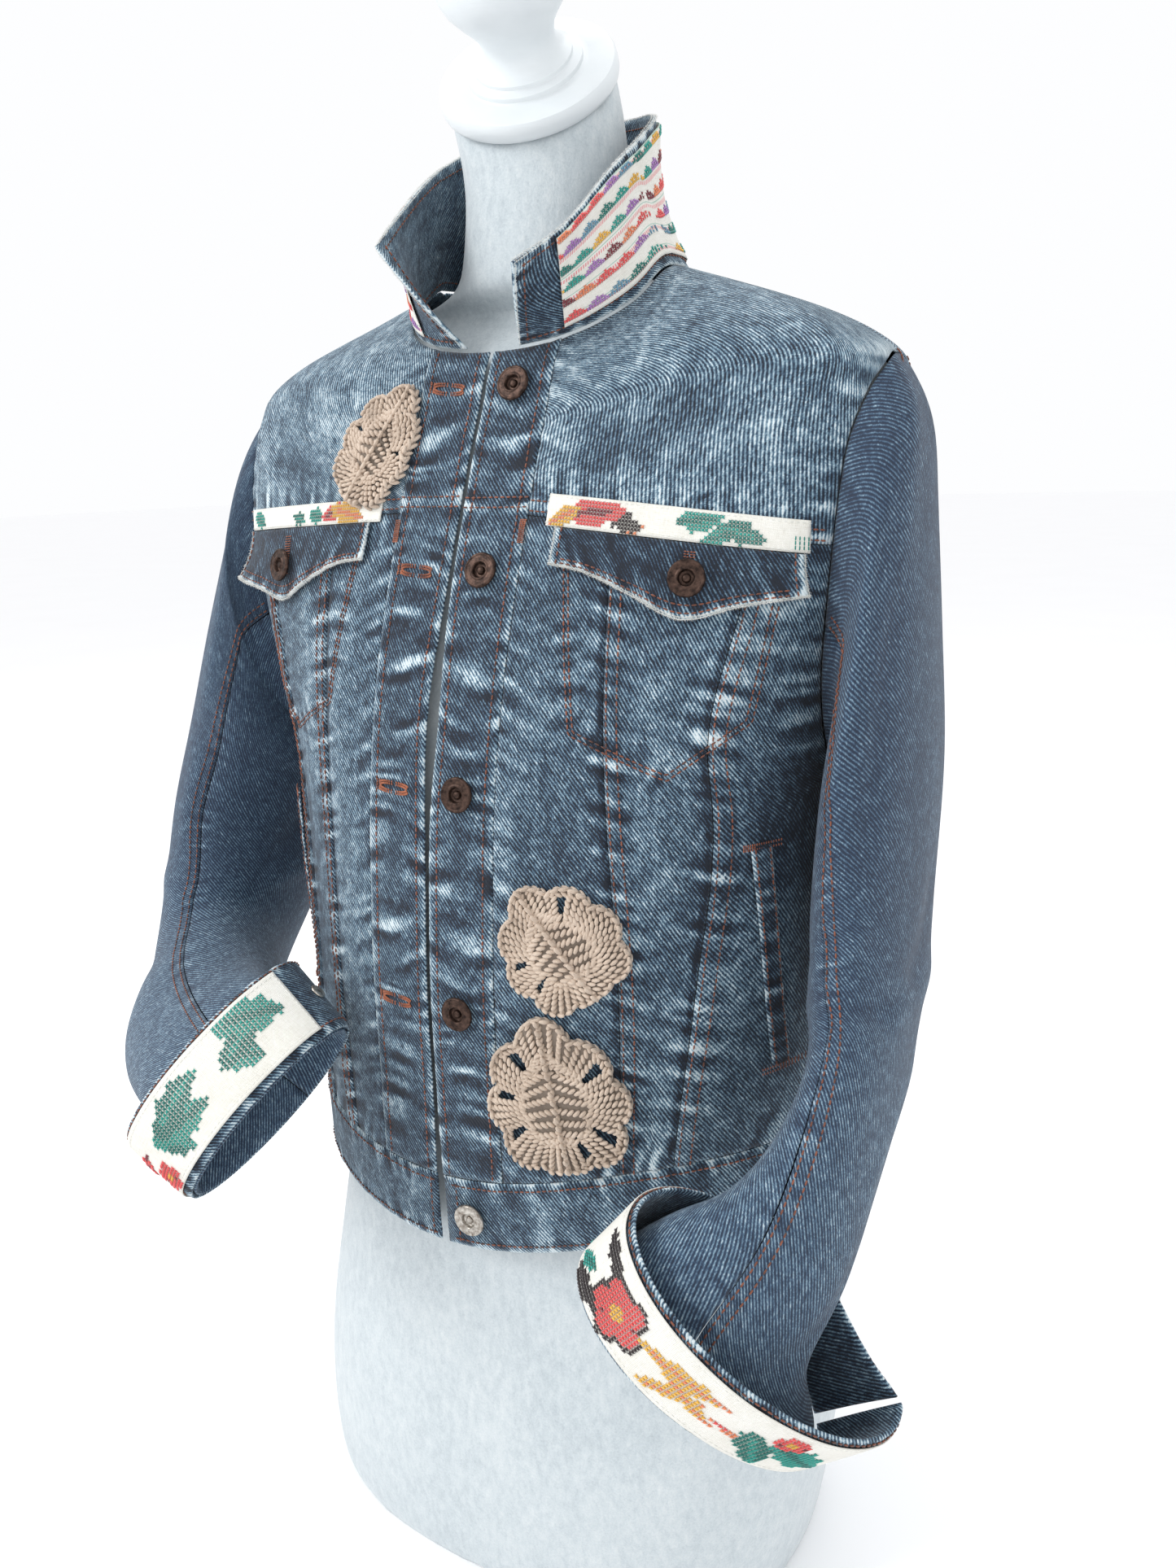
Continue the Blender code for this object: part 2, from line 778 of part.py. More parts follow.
def collar_grid(cols, rows, shares=(0.0, 1.0), rises=(0.0, 1.0)):
    """Points and outward normals of the collar, right leaf to left leaf."""
    points = []
    normals = []
    first, last = shares
    ends = []
    for j in range(2 * cols + 1):
        side = -1 if j < cols else 1
        part = abs(j - cols) / cols
        ends.append((side, last - (last - first) * part))
    for k in range(rows + 1):
        rise = rises[0] + (rises[1] - rises[0]) * k / rows
        line = []
        facing = []
        for j, (side, share) in enumerate(ends):
            here = collar_point(side, share, rise)
            a = collar_point(side, min(share + 0.02, 1.0), rise)
            b = collar_point(side, max(share - 0.02, 0.0), rise)
            if share > 0.985:
                a = collar_point(-side, 0.98, rise)
            up = collar_point(side, share, min(rise + 0.05, 1)) - collar_point(side, share, max(rise - 0.05, 0))
            normal = unit(np.cross(a - b, up)) * side
            if normal @ (here - np.array([0, 30, here[2]])) < 0:
                normal = -normal
            line.append(here)
            facing.append(normal)
        points.append(line)
        normals.append(facing)
    return points, normals


def offset(points, normals, distance):
    return [[p + distance * n for p, n in zip(row, facing)]
            for row, facing in zip(points, normals)]


def collar():
    """Standing collar, and the cloth patch laid over its outer side."""
    points, normals = collar_grid(13, 4)
    wall("collar", points, offset(points, normals, -DOUBLE_DENIM), DENIM_DARK)
    first = 2
    rows = [[p + (q - p) * 0.35 for p, q in zip(points[0], points[1])], *points[1:-1],
            [p + (q - p) * 0.15 for p, q in zip(points[-1], points[-2])]]
    rows = [row[first:-first] for row in rows]
    facing = [row[first:-first] for row in normals]
    wall("collar_patch", offset(rows, facing, 1.8), offset(rows, facing, 0.8), COTTON)


def sleeve(side):
    tag = "left" if side > 0 else "right"
    rows = 18
    gap = SLEEVE_SEAM_GAP
    for kind, first, last, cols in (
            ("upper", -SLEEVE_FRONT_SEAM, SLEEVE_FRONT_SEAM, 11),
            ("under", SLEEVE_FRONT_SEAM, 2 * math.pi - SLEEVE_FRONT_SEAM, 8)):
        outer = []
        inner = []
        for v in steps(rows):
            along = v
            row = []
            back = []
            for u in steps(cols):
                turn = first + (last - first) * u
                if u in (0, 1):
                    spread = np.linalg.norm(sleeve_raw(side, turn + 0.02, along)
                                            - sleeve_raw(side, turn - 0.02, along)) / 0.04
                    turn += (gap if u == 0 else -gap) / max(spread, 12)
                point = sleeve_raw(side, turn, along)
                normal = sleeve_normal(side, turn, along)
                inward = DENIM * normal
                if v == 0:
                    inward = mitre(side, turn)
                    ahead = unit(sleeve_raw(side, turn, 0.02) - point)
                    point = point + ahead * SLEEVE_HEAD_GAP
                row.append(point)
                back.append(point - inward)
            outer.append(row)
            inner.append(back)
        wall(f"sleeve_{kind}_{tag}", outer, inner, DENIM_BLUE)


def cuff_point(side, turn, rise):
    """Outer surface of the turned back cuff, rise 0 at the fold."""
    _, tip, near, _, axis, pinch = CUFFS[0 if side > 0 else 1]
    table = SLEEVE_LEFT if side > 0 else SLEEVE_RIGHT
    at = np.array(table[-1][1], float)
    front = np.array(table[-1][2], float)
    across = np.array(table[-1][3], float)
    axis = unit(np.array(axis))
    room = DOUBLE_DENIM + 0.5
    long_half = np.linalg.norm(across) + room + tip * rise
    short_half = np.linalg.norm(front) + room + near * rise
    if math.sin(turn) < 0:
        short_half *= 1 - pinch * rise * smooth((math.cos(turn) - 0.2) / 0.7)
    back = CUFF_DEPTH * rise
    return (at - axis * back + math.cos(turn) * long_half * unit(across)
            + math.sin(turn) * short_half * unit(front))


def cuff_grid(side, first, last, cols, rises):
    points = []
    normals = []
    for rise in rises:
        line = []
        facing = []
        for u in steps(cols):
            turn = first + (last - first) * u
            here = cuff_point(side, turn, rise)
            round_it = cuff_point(side, turn + 0.02, rise) - cuff_point(side, turn - 0.02, rise)
            up = cuff_point(side, turn, rise + 0.02) - cuff_point(side, turn, rise - 0.02)
            normal = unit(np.cross(round_it, up))
            if normal @ (here - cuff_point(side, turn + math.pi, rise)) < 0:
                normal = -normal
            line.append(here)
            facing.append(normal)
        points.append(line)
        normals.append(facing)
    return points, normals


def cuff(side):
    """Turned back cuff, open at its slit, with a cloth patch over most of it."""
    tag = "left" if side > 0 else "right"
    slit = CUFFS[0 if side > 0 else 1][3]
    cols = 32
    rises = (0, 0.5, 1)
    points, normals = cuff_grid(side, slit + 0.06, slit + 2 * math.pi - 0.06, cols, rises)
    wall(f"cuff_{tag}", points, offset(points, normals, -DOUBLE_DENIM), DENIM_DARK)
    first, last = (2, cols - 1) if side > 0 else (1, cols - 4)
    rows = [[p + (q - p) * 0.16 for p, q in zip(points[0], points[1])], points[1],
            [p + (q - p) * 0.12 for p, q in zip(points[2], points[1])]]
    rows = [row[first:last + 1] for row in rows]
    facing = [row[first:last + 1] for row in normals]
    wall(f"cuff_patch_{tag}", offset(rows, facing, 1.6), offset(rows, facing, 0.6), COTTON)


def strip_on_front(name, points, out, thick, colour, lift=None):
    """Piece laid on the front: a grid of (x, z), moved out from the panel."""
    outer = []
    inner = []
    for i, row in enumerate(points):
        outer.append([])
        inner.append([])
        for j, (x, z) in enumerate(row):
            angle = angle_at_x(x, z)
            normal = torso_normal(angle, z, True)
            extra = lift(i, j) if lift else 0.0
            base = torso_raw(angle, z, True)
            inner[-1].append(base + (out + extra) * normal)
            outer[-1].append(base + (out + extra + thick) * normal)
    return wall(name, outer, inner, colour)


def flap(side):
    tag = "left" if side > 0 else "right"
    table = FLAP_LEFT if side > 0 else FLAP_RIGHT
    corner_lift = FLAP_CORNER_LIFT_LEFT if side > 0 else FLAP_CORNER_LIFT_RIGHT
    first = table[0][0]
    last = table[-1][0]
    cols = 12
    rows = 4
    grid = []
    for v in steps(rows):
        row = []
        for u in steps(cols):
            x = first + (last - first) * u
            top = yoke_z(side * x) - FLAP_TOP_DROP
            low = column(table, x, 1)
            row.append((side * x, low + (top - low) * v))
        grid.append(row)

    def lift(i, j):
        down = 1 - i / rows
        return down ** 2 * (1.0 + corner_lift * smooth((j / cols - 0.6) / 0.4))

    strip_on_front(f"pocket_flap_{tag}", grid, LAID_GAP, DOUBLE_DENIM - 0.4, DENIM_DARK, lift)
    grid = []
    for v in steps(1):
        row = []
        for u in steps(cols):
            x = first - 6 + (last - first + 8) * u
            low = yoke_z(side * x) - FLAP_TOP_DROP + 0.5
            row.append((side * x, low + BAND_HEIGHTS[0 if side > 0 else 1] * v))
        grid.append(row)
    strip_on_front(f"embroidered_band_{tag}", grid, LAID_GAP, 1.1, COTTON)


def welt(side):
    """Narrow welt of the slanted side pocket."""
    tag, top_x, bottom_x = WELTS[0 if side > 0 else 1]
    grid = []
    for v in steps(10):
        row = []
        for u in steps(2):
            x = side * (bottom_x + (top_x - bottom_x) * v)
            z = WELT_HEIGHTS[1] + (WELT_HEIGHTS[0] - WELT_HEIGHTS[1]) * v
            along = torso_raw(angle_at_x(x, z) + 0.02, z, True) - torso_raw(angle_at_x(x, z), z, True)
            turn = (u - 0.5) * WELT_WIDTH * 0.02 / np.linalg.norm(along)
            row.append((torso_raw(angle_at_x(x, z) + turn, z, True)[0], z))
        grid.append(row)
    strip_on_front(f"pocket_welt_{tag}", grid, LAID_GAP, 1.8, DENIM_DARK)


def leaf_reach(turn, length, width):
    """Outline of a crocheted leaf: tip at turn 0, lobes down both sides."""
    oval = 1 / math.hypot(math.cos(turn) / (length / 2), math.sin(turn) / (width / 2))
    tip = 1 + 0.10 * math.exp(-(turn_from(turn, 0) / 0.35) ** 2)
    heart = 1 - 0.16 * math.exp(-(turn_from(turn, math.pi) / 0.35) ** 2)
    return oval * tip * heart * (0.84 + 0.16 * leaf_lobe(turn))


def turn_from(turn, start):
    return (turn - start + math.pi) % (2 * math.pi) - math.pi


def leaf_lobe(turn):
    """0 in a notch between two lobes, 1 in the middle of a lobe."""
    return abs(math.cos(LEAF_LOBES * turn / 2)) ** 0.6


def leaf(name, x0, z0, turn_by, length, width, stand, slots):
    """Thick crochet applique: raised lobes outside, plain inside, open slots."""
    spokes = LEAF_SPOKES
    lean = math.radians(turn_by)
    outer = []
    inner = []
    for ring in LEAF_RINGS:
        top_row = []
        low_row = []
        for j in range(spokes):
            turn = 2 * math.pi * j / spokes
            reach = leaf_reach(turn, length, width) * ring
            x = x0 + math.cos(turn + lean) * reach
            z = z0 + math.sin(turn + lean) * reach
            normal = torso_normal(angle_at_x(x, z), z, True)
            base = torso_raw(angle_at_x(x, z), z, True)
            relief = LEAF_RELIEF * ring * (leaf_lobe(turn) - 0.35) if ring < 1 else -LEAF_RIM_DROP
            low_row.append(base + stand * normal)
            top_row.append(base + (stand + LEAF_THICKNESS + relief) * normal)
        outer.append(top_row)
        inner.append(low_row)
    mesh = bpy.data.meshes.new(name)
    shape = bmesh.new()
    top = [ring_of(shape, row) for row in outer]
    low = [ring_of(shape, row) for row in inner]
    open_cells = {(1, (first + k) % spokes) for first in slots for k in range(LEAF_SLOT_SPOKES)}
    for i in range(len(LEAF_RINGS) - 1):
        for j in range(spokes):
            if (i, j) in open_cells:
                continue
            k = (j + 1) % spokes
            shape.faces.new((top[i][j], top[i + 1][j], top[i + 1][k], top[i][k]))
            shape.faces.new((low[i][k], low[i + 1][k], low[i + 1][j], low[i][j]))
    shape.faces.new(top[0][::-1])
    shape.faces.new(low[0])
    for j in range(spokes):
        k = (j + 1) % spokes
        shape.faces.new((top[-1][j], low[-1][j], low[-1][k], top[-1][k]))
    for first in slots:
        a, b = first, (first + LEAF_SLOT_SPOKES) % spokes
        shape.faces.new((top[1][a], top[2][a], low[2][a], low[1][a]))
        shape.faces.new((top[2][b], top[1][b], low[1][b], low[2][b]))
        for step in range(LEAF_SLOT_SPOKES):
            j = (first + step) % spokes
            k = (j + 1) % spokes
            shape.faces.new((top[2][j], top[2][k], low[2][k], low[2][j]))
            shape.faces.new((top[1][k], top[1][j], low[1][j], low[1][k]))
    finish(shape, mesh)
    make_object(name, mesh, CROCHET, 0.9)


def turned(name, profile, matrix, colour, roughness, metallic, sides):
    """A turned piece: an open profile of (radius, height), spun round Z."""
    mesh = bpy.data.meshes.new(name)
    points = [(r * MM, 0, h * MM) for r, h in profile]
    mesh.from_pydata(points, [(i, i + 1) for i in range(len(points) - 1)], [])
    thing = make_object(name, mesh, colour, roughness, metallic)
    spin = thing.modifiers.new("spin", "SCREW")
    spin.steps = sides
    spin.render_steps = sides
    spin.use_merge_vertices = True
    spin.merge_threshold = 0.00005
    thing.matrix_world = matrix
    return thing


def frame_on(point, normal):
    """Matrix with its Z along a normal, at a point in millimetres."""
    z = Vector(normal).normalized()
    x = Vector((0, 0, 1)).cross(z)
    if x.length < 0.1:
        x = Vector((1, 0, 0))
    x.normalize()
    y = z.cross(x)
    rotation = Matrix((x, y, z)).transposed().to_4x4()
    place = Vector((point[0] * MM, point[1] * MM, (point[2] + HEM_HEIGHT) * MM))
    return Matrix.Translation(place) @ rotation


def shank_button(name, x, z, lift, colour=COPPER):
    """Ring shank button: a raised rim round a hollow with a post."""
    r = BUTTON_DIAMETER / 2
    profile = (
        (0.0, 3.2), (1.6, 2.9), (3.0, 2.0), (3.6, 3.8), (r - 1.4, 4.0), (r, 2.6),
        (r - 0.8, 1.3), (2.6, 0.9), (2.6, 0.0), (0.0, 0.0),
    )
    angle = angle_at_x(x, z)
    normal = torso_normal(angle, z, True)
    base = torso_raw(angle, z, True) + lift * normal
    turned(name, profile, frame_on(base, normal), colour, 0.42, 0.9, 12)


def cuff_rivet(side):
    """Back of the cuff button: a flat disc on the turned out face."""
    tag = "left" if side > 0 else "right"
    slit = CUFFS[0 if side > 0 else 1][3]
    turn = slit + (0.24 if side > 0 else 2 * math.pi - 0.4)
    rise = 0.5
    points, normals = cuff_grid(side, turn, turn + 0.01, 1, (rise, rise + 0.01))
    profile = ((0.0, 1.2), (3.2, 1.1), (4.1, 0.6), (4.1, 0.0), (0.0, 0.0))
    base = points[0][0] + 0.45 * normals[0][0]
    turned(f"cuff_rivet_{tag}", profile, frame_on(base, normals[0][0]), STEEL, 0.35, 0.9, 14)


def form_ring(z):
    """Section of the dress form inside the jacket or below its hem."""
    ring = []
    for j in range(FORM_SIDES):
        turn = 2 * math.pi * j / FORM_SIDES
        across = math.sin(turn)
        front = math.cos(turn) >= 0
        if z >= 10:
            room = DENIM + column(FORM_ROOM, z, 1)
            level = z + column(FORM_ROOM, z, 2)
            side = half_width(level, across) - room
            mid = column(TORSO, level, 5)
            reach = column(TORSO, level, 3) + room if front else column(TORSO, level, 4) - room
            bend = 2 / squareness(level, across, front)
            point = (side * power(across, bend),
                     mid + (reach - mid) * power(abs(math.cos(turn)), bend), z)
        else:
            bend = 2 / 2.4
            reach = column(FORM_HIPS, z, 2 if front else 3)
            point = (column(FORM_HIPS, z, 4) + column(FORM_HIPS, z, 1) * power(across, bend),
                     reach * abs(math.cos(turn)) ** bend, z)
        ring.append(np.array(point))
    return ring


def neck_ring(row):
    x, y, z, half, depth, tilt = row
    lean = math.radians(tilt)
    side = math.radians(CAP_TILT_SIDE * tilt / FORM_NECK[-1][5])
    ring = []
    for j in range(FORM_SIDES):
        turn = 2 * math.pi * j / FORM_SIDES
        flat = Vector((half * math.sin(turn), -depth * math.cos(turn), 0))
        flat.rotate(Matrix.Rotation(side, 3, "Y") @ Matrix.Rotation(lean, 3, "X"))
        ring.append(np.array([x + flat.x, y + flat.y, z + flat.z]))
    return ring


def form():
    """Smooth limbless torso that the jacket hangs on, with a turned cap."""
    levels = [-215, -206, -160, -110, -60, -20, 20, 80, 140, 190, 235, 275, 310,
              340, 365, 388, 405, 417, 426, 434, 443, 451, 457]
    rings = [form_ring(z) for z in levels] + [neck_ring(row) for row in FORM_NECK]
    mesh = bpy.data.meshes.new("dress_form")
    shape = bmesh.new()
    made = [ring_of(shape, ring) for ring in rings]
    count = len(made[0])
    for a, b in zip(made[:-1], made[1:]):
        for j in range(count):
            k = (j + 1) % count
            shape.faces.new((a[j], a[k], b[k], b[j]))
    shape.faces.new(made[0][::-1])
    shape.faces.new(made[-1])
    finish(shape, mesh)
    make_object("dress_form", mesh, PLUSH, 0.95)
    x, y, z, half, _, tilt = FORM_NECK[-1]
    lean = Matrix.Rotation(math.radians(CAP_TILT_SIDE), 4, "Y") @ Matrix.Rotation(math.radians(tilt), 4, "X")
    up = lean @ Vector((0, 0, 1))
    place = Vector((x * MM, y * MM, (z + HEM_HEIGHT) * MM)) + up * 0.4 * MM
    profile = ((0.0, 80), (16, 77), (28, 68), (32.5, 57), (30, 46), (22, 35), (17.5, 26), (19, 19),
               (23.5, 16), (24, 13.5), (28.5, 12.5), (29, 10), (43, 9.4), (44.5, 6), (44, 0),
               (0.0, 0.0))
    turned("neck_cap", profile, Matrix.Translation(place) @ lean, PLUSH, 0.35, 0.0, 22)


form()
back_yoke()
back_centre()
waistband()
collar()
for hand in (1, -1):
    word = "left" if hand > 0 else "right"
    front_yoke(hand)
    placket(hand)
    front_strip(f"front_centre_panel_{word}", hand, placket_line(hand), seam_line(hand, 1), 4, 12)
    front_strip(f"front_middle_panel_{word}", hand, seam_line(hand, 1), seam_line(hand, 2), 3, 12)
    side_panel(hand, True)
    side_panel(hand, False)
    sleeve(hand)
    cuff(hand)
    cuff_rivet(hand)
    flap(hand)
    welt(hand)
for row in LEAVES:
    leaf(*row)
for number, height in enumerate(BUTTON_HEIGHTS, 1):
    shank_button(f"front_button_{number}", BUTTON_X, height, 1.1)
shank_button("waistband_button", BUTTON_X, 19, 1.1, STEEL)
shank_button("flap_button_left", *FLAP_BUTTON_LEFT, FLAP_BUTTON_LIFT)
shank_button("flap_button_right", *FLAP_BUTTON_RIGHT, FLAP_BUTTON_LIFT)
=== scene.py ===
import math

import bmesh
import bpy
import numpy as np
from mathutils import Matrix, Vector


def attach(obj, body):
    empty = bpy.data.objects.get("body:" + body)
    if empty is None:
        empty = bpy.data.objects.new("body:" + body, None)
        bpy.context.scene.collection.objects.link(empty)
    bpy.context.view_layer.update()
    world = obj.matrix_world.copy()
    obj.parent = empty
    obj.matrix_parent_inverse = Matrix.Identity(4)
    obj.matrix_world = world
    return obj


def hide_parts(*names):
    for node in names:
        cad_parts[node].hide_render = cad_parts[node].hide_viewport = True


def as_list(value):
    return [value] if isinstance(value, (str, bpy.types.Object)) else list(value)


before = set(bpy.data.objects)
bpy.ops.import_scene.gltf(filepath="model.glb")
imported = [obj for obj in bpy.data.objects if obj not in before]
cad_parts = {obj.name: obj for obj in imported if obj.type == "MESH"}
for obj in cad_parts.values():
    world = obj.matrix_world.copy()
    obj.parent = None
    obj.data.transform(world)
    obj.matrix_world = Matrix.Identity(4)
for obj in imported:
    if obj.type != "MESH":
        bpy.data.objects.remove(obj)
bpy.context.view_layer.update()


# Plush torso. The jacket hangs on a limbless display torso: a hard shell in a
# brushed white jersey, with a turned and painted wooden cap on its neck.

MM = 0.001
HEM_HEIGHT = 215.0


class Term:
    """A value in a material, so that sums on it read as plain maths."""

    def __init__(self, finish, socket):
        self.finish = finish
        self.socket = socket

    def maths(self, operation, *others):
        node = self.finish.tree.nodes.new("ShaderNodeMath")
        node.operation = operation
        for place, value in zip(node.inputs, others):
            self.finish.feed(place, value)
        return Term(self.finish, node.outputs[0])

    def __add__(self, other):
        return self.maths("ADD", self, other)

    def __sub__(self, other):
        return self.maths("SUBTRACT", self, other)

    def __mul__(self, other):
        return self.maths("MULTIPLY", self, other)

    def __truediv__(self, other):
        return self.maths("DIVIDE", self, other)

    def __pow__(self, other):
        return self.maths("POWER", self, other)

    def __rsub__(self, other):
        return self.maths("SUBTRACT", other, self)

    __radd__ = __add__
    __rmul__ = __mul__

    def sine(self):
        return self.maths("SINE", self)

    def held(self, low=0.0, high=1.0):
        return self.maths("MAXIMUM", self.maths("MINIMUM", self, high), low)

    def over(self, edge, width):
        """0 below an edge, 1 above it, over a soft width."""
        return ((self - edge) / width + 0.5).held()


class Finish:
    """One material; every node in it comes from the one method add."""

    def __init__(self, name, **fixed):
        self.material = bpy.data.materials.new(name)
        self.material.use_nodes = True
        self.tree = self.material.node_tree
        self.shader = self.tree.nodes["Principled BSDF"]
        for key, value in fixed.items():
            self.shader.inputs[key.replace("_", " ")].default_value = value

    def feed(self, place, value):
        if isinstance(value, Term):
            self.tree.links.new(value.socket, place)
        elif isinstance(value, tuple) and len(value) == 3 and place.type == "RGBA":
            place.default_value = (*value, 1)
        else:
            place.default_value = value

    def add(self, kind, out=0, settings=None, stops=None, **sockets):
        node = self.tree.nodes.new("ShaderNode" + kind)
        for key, value in (settings or {}).items():
            setattr(node, key, value)
        if stops:
            ramp = node.color_ramp.elements
            while len(ramp) < len(stops):
                ramp.new(0.5)
            for mark, (place, colour) in zip(ramp, stops):
                mark.position = place
                mark.color = (*colour, 1)
        for key, value in sockets.items():
            place = node.inputs[int(key[1:])] if key[1:].isdigit() else node.inputs[key]
            self.feed(place, value)
        return Term(self, node.outputs[out])

    def noise(self, where, scale, detail=2.0, rough=0.5):
        return self.add("TexNoise", Vector=where, Scale=scale, Detail=detail, Roughness=rough)

    def mix(self, share, first, second):
        return self.add("Mix", 2, {"data_type": "RGBA"}, s0=share, s6=first, s7=second)

    def stretched(self, where, across, along, deep=1.0):
        """Coordinates scaled by a different amount each way."""
        return self.add("VectorMath", 0, {"operation": "MULTIPLY"}, s0=where,
                        s1=(across, along, deep))

    def seat(self):
        return self.add("TexCoord", 3)

    def cloth_place(self):
        return self.add("UVMap", 0, {"uv_map": "cloth"})

    def parts(self, where):
        node = self.tree.nodes.new("ShaderNodeSeparateXYZ")
        self.feed(node.inputs[0], where)
        return [Term(self, socket) for socket in node.outputs]

    def marked(self, name, out=2):
        return self.add("Attribute", out, {"attribute_name": name})

    def wear(self, colour=None, rough=None, height=None, depth=0.0003, strength=1.0, metal=None):
        """Join the worked out colour, roughness and relief to the shader."""
        if colour is not None:
            self.feed(self.shader.inputs["Base Color"], colour)
        if rough is not None:
            self.feed(self.shader.inputs["Roughness"], rough)
        if metal is not None:
            self.feed(self.shader.inputs["Metallic"], metal)
        if height is not None:
            bump = self.add("Bump", Height=height, Distance=depth, Strength=strength)
            self.feed(self.shader.inputs["Normal"], bump)
        return self.material


def linear(red, green, blue):
    """Colour as seen on a screen, 0 to 255, to the renderer's own scale."""
    return tuple(((c / 255 + 0.055) / 1.055) ** 2.4 if c > 10 else c / 3300
                 for c in (red, green, blue))


def plush():
    look = Finish("brushed white jersey", Roughness=0.95, Sheen_Weight=0.35, Sheen_Roughness=0.5)
    seat = look.seat()
    pile = look.noise(seat, 900, 3, 0.7)
    fluff = look.noise(look.stretched(seat, 1, 1, 0.5), 240, 4, 0.65)
    shade = look.noise(seat, 14, 3)
    tone = (pile * 0.35 + fluff * 0.4 + shade * 0.25).held()
    colour = look.add("ValToRGB", Fac=tone, stops=(
        (0.25, linear(158, 169, 176)), (0.5, linear(193, 202, 206)), (0.72, linear(216, 221, 222))))
    return look.wear(colour, height=pile * 0.5 + fluff, depth=0.0009, strength=0.5)


def painted():
    look = Finish("white paint on turned wood", Roughness=0.34, Coat_Weight=0.15)
    seat = look.seat()
    brush = look.noise(look.stretched(seat, 1, 1, 6), 130, 3)
    dirt = look.noise(seat, 30, 4)
    colour = look.mix(dirt.over(0.5, 0.5) * 0.5, linear(222, 227, 229), linear(200, 207, 211))
    return look.wear(colour, rough=0.30 + brush * 0.12, height=brush, depth=0.00006)


def finished(name, mesh, material, slot, nodes):
    """Put a finished piece in the scene, riding on the one body."""
    mesh.materials.clear()
    mesh.materials.append(material)
    mesh.shade_smooth()
    thing = bpy.data.objects.new(name, mesh)
    bpy.context.scene.collection.objects.link(thing)
    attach(thing, "root")
    if nodes:
        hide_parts(*nodes)
    return thing


def as_mesh(thing):
    """Turn an object's modifiers into a plain mesh, in place."""
    made = bpy.data.meshes.new_from_object(
        thing.evaluated_get(bpy.context.evaluated_depsgraph_get()))
    thing.modifiers.clear()
    old = thing.data
    thing.data = made
    if old.users == 0:
        bpy.data.meshes.remove(old)
    return made


def torso_form():
    """The frame's coarse torso, merged, made of quads and rounded."""
    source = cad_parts["dress_form"].data
    mesh = source.copy()
    mesh.name = "plush_torso"
    shape = bmesh.new()
    shape.from_mesh(mesh)
    bmesh.ops.remove_doubles(shape, verts=shape.verts, dist=0.00005)
    bmesh.ops.join_triangles(shape, faces=shape.faces, angle_face_threshold=0.7,
                             angle_shape_threshold=1.5)
    creased = shape.edges.layers.float.new("crease_edge")
    lowest = min(v.co.z for v in shape.verts)
    for edge in shape.edges:
        if all(v.co.z < lowest + 0.0004 for v in edge.verts):
            edge[creased] = 0.8
    shape.to_mesh(mesh)
    shape.free()
    thing = bpy.data.objects.new("plush_torso_cage", mesh)
    bpy.context.scene.collection.objects.link(thing)
    rounding = thing.modifiers.new("rounding", "SUBSURF")
    rounding.levels = 2
    rounding.render_levels = 2
    made = as_mesh(thing)
    bpy.data.objects.remove(thing)
    made.name = "plush_torso"
    finished("plush_torso", made, plush(), "dress_form", ["dress_form"])


torso_form()


def spun(name, profile, matrix, material, slot, nodes, sides=64):
    """A turned piece: an open profile of (radius, height) in mm, round Z."""
    mesh = bpy.data.meshes.new(name)
    mesh.from_pydata([(r * MM, 0, h * MM) for r, h in profile],
                     [(i, i + 1) for i in range(len(profile) - 1)], [])
    thing = bpy.data.objects.new(name + "_turning", mesh)
    bpy.context.scene.collection.objects.link(thing)
    spin = thing.modifiers.new("spin", "SCREW")
    spin.steps = sides
    spin.render_steps = sides
    spin.use_merge_vertices = True
    spin.merge_threshold = 0.00002
    made = as_mesh(thing)
    bpy.data.objects.remove(thing)
    made.name = name
    made.transform(matrix)
    piece = finished(name, made, material, slot, nodes)
    made.set_sharp_from_angle(angle=math.radians(38))
    return piece


CAP_PLACE = Vector((-2, 11, 560))
CAP_TILT_BACK = 44.0
CAP_TILT_SIDE = 15.0
CAP_PROFILE = (
    (0, 80), (9, 79.6), (16, 77), (23, 73), (28, 68), (31.4, 62.5), (32.5, 57), (31.8, 51), (30, 46),
    (26, 40), (22, 35), (19.2, 30.5), (17.8, 26), (17.8, 22.5), (19, 19.6), (21.5, 17.4), (22.8, 16.4),
    (23.6, 16), (24.1, 15.6), (24.2, 13.9), (24.8, 13.3), (27.6, 12.9), (28.3, 12.4), (28.6, 10.5),
    (29.4, 9.9), (32, 9.8), (41.5, 9.5), (43.3, 8.9), (44.2, 7.4), (44.5, 5), (44.5, 2), (44.1, 0.6),
    (43.4, 0), (0, 0))
cap_lean = (Matrix.Rotation(math.radians(CAP_TILT_SIDE), 4, "Y")
            @ Matrix.Rotation(math.radians(CAP_TILT_BACK), 4, "X"))
cap_foot = CAP_PLACE + Vector((0, 0, HEM_HEIGHT)) + cap_lean @ Vector((0, 0, 0.4))
spun("turned_cap", CAP_PROFILE, Matrix.Translation(cap_foot * MM) @ cap_lean, painted(),
     "neck_cap", ["neck_cap"], 96)


# Body of the jacket. Stonewashed cotton denim, cut as two yokes, a back in
# three pieces and fronts in three pieces each, joined by lapped seams that
# pucker. Tables and sizes are in millimetres, heights are above the hem.

